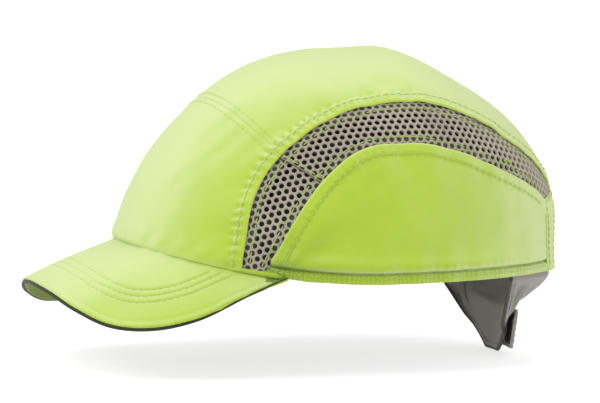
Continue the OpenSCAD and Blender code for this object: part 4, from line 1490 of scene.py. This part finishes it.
# ------------------------------------------------------------------ hook and loop patches
PATCH = [[70, 90], [78, 63], [78, 117], [112, 66], [112, 114], [135, 90]]
LP0 = FT + 1.0
HK0 = LP0 + 1.3 + 0.6


def patch_grid(lam, kap, t, n=17, d=18.0):
    a = np.linspace(-1, 1, n)
    A, B = np.meshgrid(a, a, indexing="ij")
    u = A * np.sqrt(1 - B * B / 2)
    v = B * np.sqrt(1 - A * A / 2)
    r0 = np.linalg.norm(cp(lam, kap) - CEN)
    s = d / 2 / r0 * 57.3
    return cp(lam + s * u / max(math.sin(math.radians(kap)), 0.2), kap + s * v, t)


first = True
for i, (la, ka) in enumerate(PATCH):
    P = patch_grid(la, ka, LP0 + 0.05)
    ob = sheet("crown_loop_patch_%d" % (i + 1), P, PILE, out=gnormal(P), thick=1.2, bevel=0.3)
    done(ob, "cap", ["crown_loop_patches"] if first else ())
    P = patch_grid(la, ka, HK0 + 0.05)
    ob = sheet("liner_hook_patch_%d" % (i + 1), P, HOOK, out=gnormal(P), thick=1.2, bevel=0.3)
    done(ob, "liner", ["liner_hook_patches"] if first else ())
    first = False

# ------------------------------------------------------------------ nape
ND, NB = 43.0, 23.0
HB = NB / 2
NR = 65.0
LEAN = math.atan2(3.5, NB)
YV = np.array([0, math.cos(LEAN), -math.sin(LEAN)])
ZV = np.array([0, math.sin(LEAN), math.cos(LEAN)])
XV = np.array([1.0, 0, 0])
NC = np.array([0, 83.2, -(ND - NB + ND) / 2]) - YV * NR


def bp(s, d, z):
    s, d, z = np.broadcast_arrays(np.asarray(s, float), np.asarray(d, float), np.asarray(z, float))
    a = s / NR
    return NC + (NR + d)[..., None] * (np.sin(a)[..., None] * XV + np.cos(a)[..., None] * YV) + z[..., None] * ZV


def bn(s):
    a = np.asarray(s, float) / NR
    return np.sin(a)[..., None] * XV + np.cos(a)[..., None] * YV


FLAP_UP = np.array([[43, 92.5, -3.2], [36, 96, -3.2], [29, 98.6, -3.2], [21, 100.8, -3.2], [14, 102, -3.2], [7, 102.7, -3.2], [0.4, 103, -3.2]])
FLAP_FOLD = np.array([[47, 88.6, -3.2], [41.5, 88.2, -8.4], [34.5, 85.4, -14.2], [26, 80.8, -18.8], bp(16, 0, HB), bp(8, 0, HB), bp(0.4, 0, HB)])


def flap_points(s, v, bulge=1.2):
    """nape cloth; v from the hem (-1) over a rounded fold (0) to the lower edge (1)"""
    s = np.asarray(s, float)
    v = np.asarray(v, float)
    f = crv(FLAP_FOLD, 6 * s)
    u = crv(FLAP_UP, 6 * s)
    m = np.minimum(s / 0.86, 1)[:, None]
    w = np.maximum(0, (s - 0.86) / 0.14)[:, None]
    fb = lerp(lerp(np.array([60, 68.5, -3.2]), bp(8, 0, -HB), m), bp(0.4, 0, -HB), w)
    rad = np.sqrt(v ** 2 + 0.26 ** 2 * (1 - v ** 2))
    dn = ((rad + v) / 2)[None, :, None]
    ups = ((rad - v) / 2)[None, :, None]
    P = f[:, None] + (fb - f)[:, None] * dn + (u - f)[:, None] * ups
    vp = np.clip(v, 0, 1)
    vm = np.clip(-v, 0, 1)
    P[..., 1] += bulge * np.sin(math.pi * vp)[None] * (1 - s)[:, None] + 2.2 * np.sin(math.pi * vm)[None] * s[:, None]
    c = np.clip((28 - P[..., 0]) / 8, 0, 1)
    w = c * c * (3 - 2 * c) * smooth(-0.06, 0.10, v)[None]
    q = P - NC
    u0, u1, z = q[..., 0], q @ YV, q @ ZV
    r = np.sqrt(u0 ** 2 + u1 ** 2)
    k = lerp(r, NR, w) / r
    u0 = u0 * k * (1 - smooth(0.93, 1.0, s))[:, None]
    return NC + u0[..., None] * XV + (u1 * k)[..., None] * YV + z[..., None] * ZV, w


for side, sx in (("left", 1), ("right", -1)):
    Mx = np.array([sx, 1, 1])
    s = np.linspace(0, 1, 110)
    v = np.concatenate([np.linspace(-1, -0.15, 22, endpoint=False), np.linspace(-0.15, 0.15, 16, endpoint=False), np.linspace(0.15, 0.985, 40)])
    P, W = flap_points(s, v)
    # carry the cloth up behind the hem
    ne = 7
    ext = np.linspace(1, 0, ne, endpoint=False)
    rise = P[:, :1] + ext[None, :, None] * np.array([0.0, -1.2, 4.6])
    P = np.concatenate([rise, P], 1)
    W = np.concatenate([np.zeros((len(s), ne)), W], 1)
    v = np.concatenate([-1 - 0.2 * ext, v])
    side_up = P[0][None] + ext[:, None, None] * np.array([0.3, 0.2, 4.4])
    P = np.concatenate([side_up, P], 0)
    W = np.concatenate([np.repeat(W[:1], ne, 0), W], 0)
    N = grid_normals(P)
    if (N[..., 1]).mean() < 0:
        N = -N
    S = np.concatenate([-ext * 0.1, s])
    SS, VV = np.meshgrid(S, v, indexing="ij")
    free = (1 - W) * smooth(0.0, 0.12, SS) * smooth(0, 0.15, VV)
    upper = smooth(-0.1, -0.35, VV) * smooth(-1.0, -0.7, VV) * (1 - smooth(0.9, 1.0, SS))
    folds = 0.55 * np.sin(SS * 9 + VV * 3 + 0.6) * free + (0.10 + 0.45 * free + 0.35 * upper) * noise(P * Mx, 20, 2)
    folds = folds + 1.1 * np.exp(-((VV - 0.42 - 0.3 * SS) / 0.10) ** 2) * free - 0.9 * np.exp(-((VV - 0.70 + 0.2 * SS) / 0.09) ** 2) * free
    folds = folds * smooth(0, 0.12, 0.985 - VV + 0.04) * (1 - smooth(0.95, 1.0, SS))
    P = P + N * folds[..., None]
    sv = np.abs(VV - 0.90) * 40
    ob = sheet("nape_flap_cloth_" + side, P * Mx, GREY_S, out=(N * Mx), thick=1.6, offset=0.0, bevel=0.4, attrs={"sd": sv, "sa": SS * 70, "ed": np.full(SS.shape, 9.0)})
    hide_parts("nape_flap_" + side)
    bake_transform(ob)
    # binding on the lower edge
    q = flap_points(np.linspace(0, 1, 90), np.array([1.0]), 0.0)[0][:, 0]
    q = np.concatenate([q[:1] + np.linspace(1, 0, 4, endpoint=False)[:, None] * np.array([0.3, 0.2, 3.6]), q])
    up = unit(q - NC - ((q - NC) @ ZV)[:, None] * ZV)
    ob = tube("nape_binding_" + side, q * Mx, 0.88, BIND, seg=14, flat=1.1, up=up * Mx)
    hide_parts("nape_piping_" + side)
    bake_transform(ob)
    q = flap_points(np.linspace(0.03, 0.985, 120), np.array([0.90]), 1.2)[0][:, 0]
    nn = unit(q - NC - ((q - NC) @ ZV)[:, None] * ZV)
    ob = stitch_mesh("nape_stitch_" + side, [((q + nn * 0.9) * Mx, nn * Mx), ((q - nn * 0.9) * Mx, -nn * Mx)], THREAD_G, pitch=3.2, length=2.4, r=0.24)
    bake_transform(ob)

BY = 0.9 + 0.25


def band_slab(name, s0, s1, h, d0, d1, r, mat, nx=60, nz=24, wave=0.0):
    """a strap piece lying on the nape band, with rounded corners"""
    ss = s0 + (s1 - s0) * (0.5 - 0.5 * np.cos(math.pi * (0.12 + 0.76 * np.linspace(0, 1, nx))) - 0.5 + 0.5 * math.cos(math.pi * 0.12)) / math.cos(math.pi * 0.12)
    zs = np.linspace(-1, 1, nz)
    e = np.minimum(ss - s0, s1 - ss)
    hh = np.where(e >= r, h / 2, h / 2 - r + np.sqrt(np.maximum(0, r * r - (r - e) ** 2)))
    Z = hh[:, None] * zs[None]
    SSx = np.repeat(ss[:, None], nz, 1)
    D = d1 + wave * (np.sin(SSx * 0.35) * (1 - 0.3 * zs[None] ** 2) + 0.5 * np.sin(SSx * 1.1 + 2 * zs[None]))
    D = D - 0.25 * np.exp(-((np.abs(Z) - (h / 2 - 2.2)) / 0.5) ** 2) * (1 if wave else 0)
    pts = bp(SSx, D, Z)
    out = bn(SSx)
    return sheet(name, pts, mat, out=out, thick=(d1 - d0), bevel=0.35, attrs={"sd": np.abs(np.abs(Z) - (h / 2 - 2.2)), "sa": SSx, "ed": np.full(Z.shape, 9.0)})


ob = band_slab("loop_tape_pile", 1, 18, 15, BY, BY + 1.1, 2, PILE)
done(ob, "nape", ["loop_tape"])
ob = band_slab("hook_tape_face", 3, 20, 15, BY + 1.35, BY + 2.45, 2, HOOK)
done(ob, "adjuster", ["hook_tape"])
ob = band_slab("closing_strap_cloth", -19, 22, 19, BY + 2.7, BY + 4.1, 4, GREY_S, wave=0.14)
done(ob, "adjuster", ["closing_strap"])
yy = BY + 4.1
runs = []
for z in (7.3, -7.3):
    xs = np.linspace(-16.0, 19.0, 60)
    runs.append((bp(xs, yy + 0.05, z), bn(xs)))
for x in (-16.0, 19.0):
    zz_ = np.linspace(-7.3, 7.3, 30)
    runs.append((bp(x, yy + 0.05, zz_), np.tile(bn(x), (30, 1))))
done(stitch_mesh("closing_strap_stitch", runs, THREAD_G, pitch=3.0, length=2.3, r=0.26), "adjuster")
ob = band_slab("pull_tab_cloth", 21.9, 30.5, 14, BY + 2.8, BY + 4.05, 3, GREY_S, wave=0.05)
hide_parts("pull_tab")
tuple(bp(21.9, 4.5, 0) * MM)
tuple(bp(23.2, 4.5, 0) * MM)
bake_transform(ob)

# ------------------------------------------------------------------ floor, light, camera
low = float(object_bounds()[0][2])
prof = [(0, 0), (0.4, 0), (1.0, 0), (2.2, 0), (3.4, 0), (4.2, 0.03), (4.9, 0.22), (5.3, 0.6), (5.45, 1.2), (5.5, 2.6)]
V = [(0, 0, 0)]
F = []
sg = 96
for k, (r, z) in enumerate(prof[1:]):
    for j in range(sg):
        a = 2 * math.pi * j / sg
        V.append((r * 1000 * math.cos(a), r * 1000 * math.sin(a), z * 1000))
for j in range(sg):
    F.append((0, 1 + j, 1 + (j + 1) % sg))
for k in range(len(prof) - 2):
    for j in range(sg):
        a = 1 + k * sg + j
        b = 1 + k * sg + (j + 1) % sg
        F.append((a, a + sg, b + sg, b))
V = np.array(V, float)
V[:, 2] += low * 1000 - 0.3
fm = Mat("studio_floor")
fm.set("Base Color", fm.mix(fm.ramp(fm.noise(3.0, 2.0), 0.3, 0.7), (0.47, 0.47, 0.47), (0.44, 0.44, 0.44)))
fm.set("Roughness", 0.9)
fm.set("Emission Color", (1.0, 1.0, 1.0))
lpn = fm.n("ShaderNodeLightPath")
fm.set("Emission Strength", fm.math("ADD", fm.math("MULTIPLY", lpn.outputs["Is Camera Ray"], 0.30), 0.42))
floor = make("studio_floor", V, F, fm.m)

world = bpy.data.worlds.new("studio")
scene.world = world
world.use_nodes = True
wn = world.node_tree
wn.nodes["Background"].inputs[0].default_value = (1, 1, 1, 1)
wn.nodes["Background"].inputs[1].default_value = 0.62


def area(name, loc, target, size, power, color=(1, 1, 1)):
    d = bpy.data.lights.new(name, "AREA")
    d.energy = power
    d.size = size
    d.color = color
    o = bpy.data.objects.new(name, d)
    scene.collection.objects.link(o)
    o.location = loc
    o.rotation_euler = (Vector(target) - Vector(loc)).to_track_quat("-Z", "Y").to_euler()
    return o


area("key", (0.35, -1.25, 1.15), (0, 0, 0.04), 0.8, 13)
area("top", (-0.1, 0.25, 1.6), (0, 0, 0.04), 1.0, 5.5)
area("fill", (1.3, 1.1, 0.5), (0, 0, 0.02), 1.1, 6)

PSI, EL_ = math.radians(18), math.radians(5.5)
S = 0.484
back = np.array([math.cos(PSI) * math.cos(EL_), -math.sin(PSI) * math.cos(EL_), math.sin(EL_)])
rt = np.array([math.sin(PSI), math.cos(PSI), 0.0])
upv = np.cross(back, rt)
upv = -upv if upv[2] < 0 else upv
tgt = rt * ((300 - 335.2) * S) + upv * ((269.9 - 201.5) * S) - np.array([0, 0, ZO])
cam_p = tgt + back * 2600.0
cd = bpy.data.cameras.new("camera")
cd.sensor_width = 36
cd.lens = 36 * 2600.0 / (600 * S)
cd.clip_start = 0.05
cd.clip_end = 50
cam = bpy.data.objects.new("camera", cd)
scene.collection.objects.link(cam)
cam.location = cam_p * MM
cam.rotation_euler = (Vector(-back)).to_track_quat("-Z", "Y").to_euler()
scene.camera = cam
scene.view_settings.view_transform = "Standard"
scene.view_settings.look = "None"
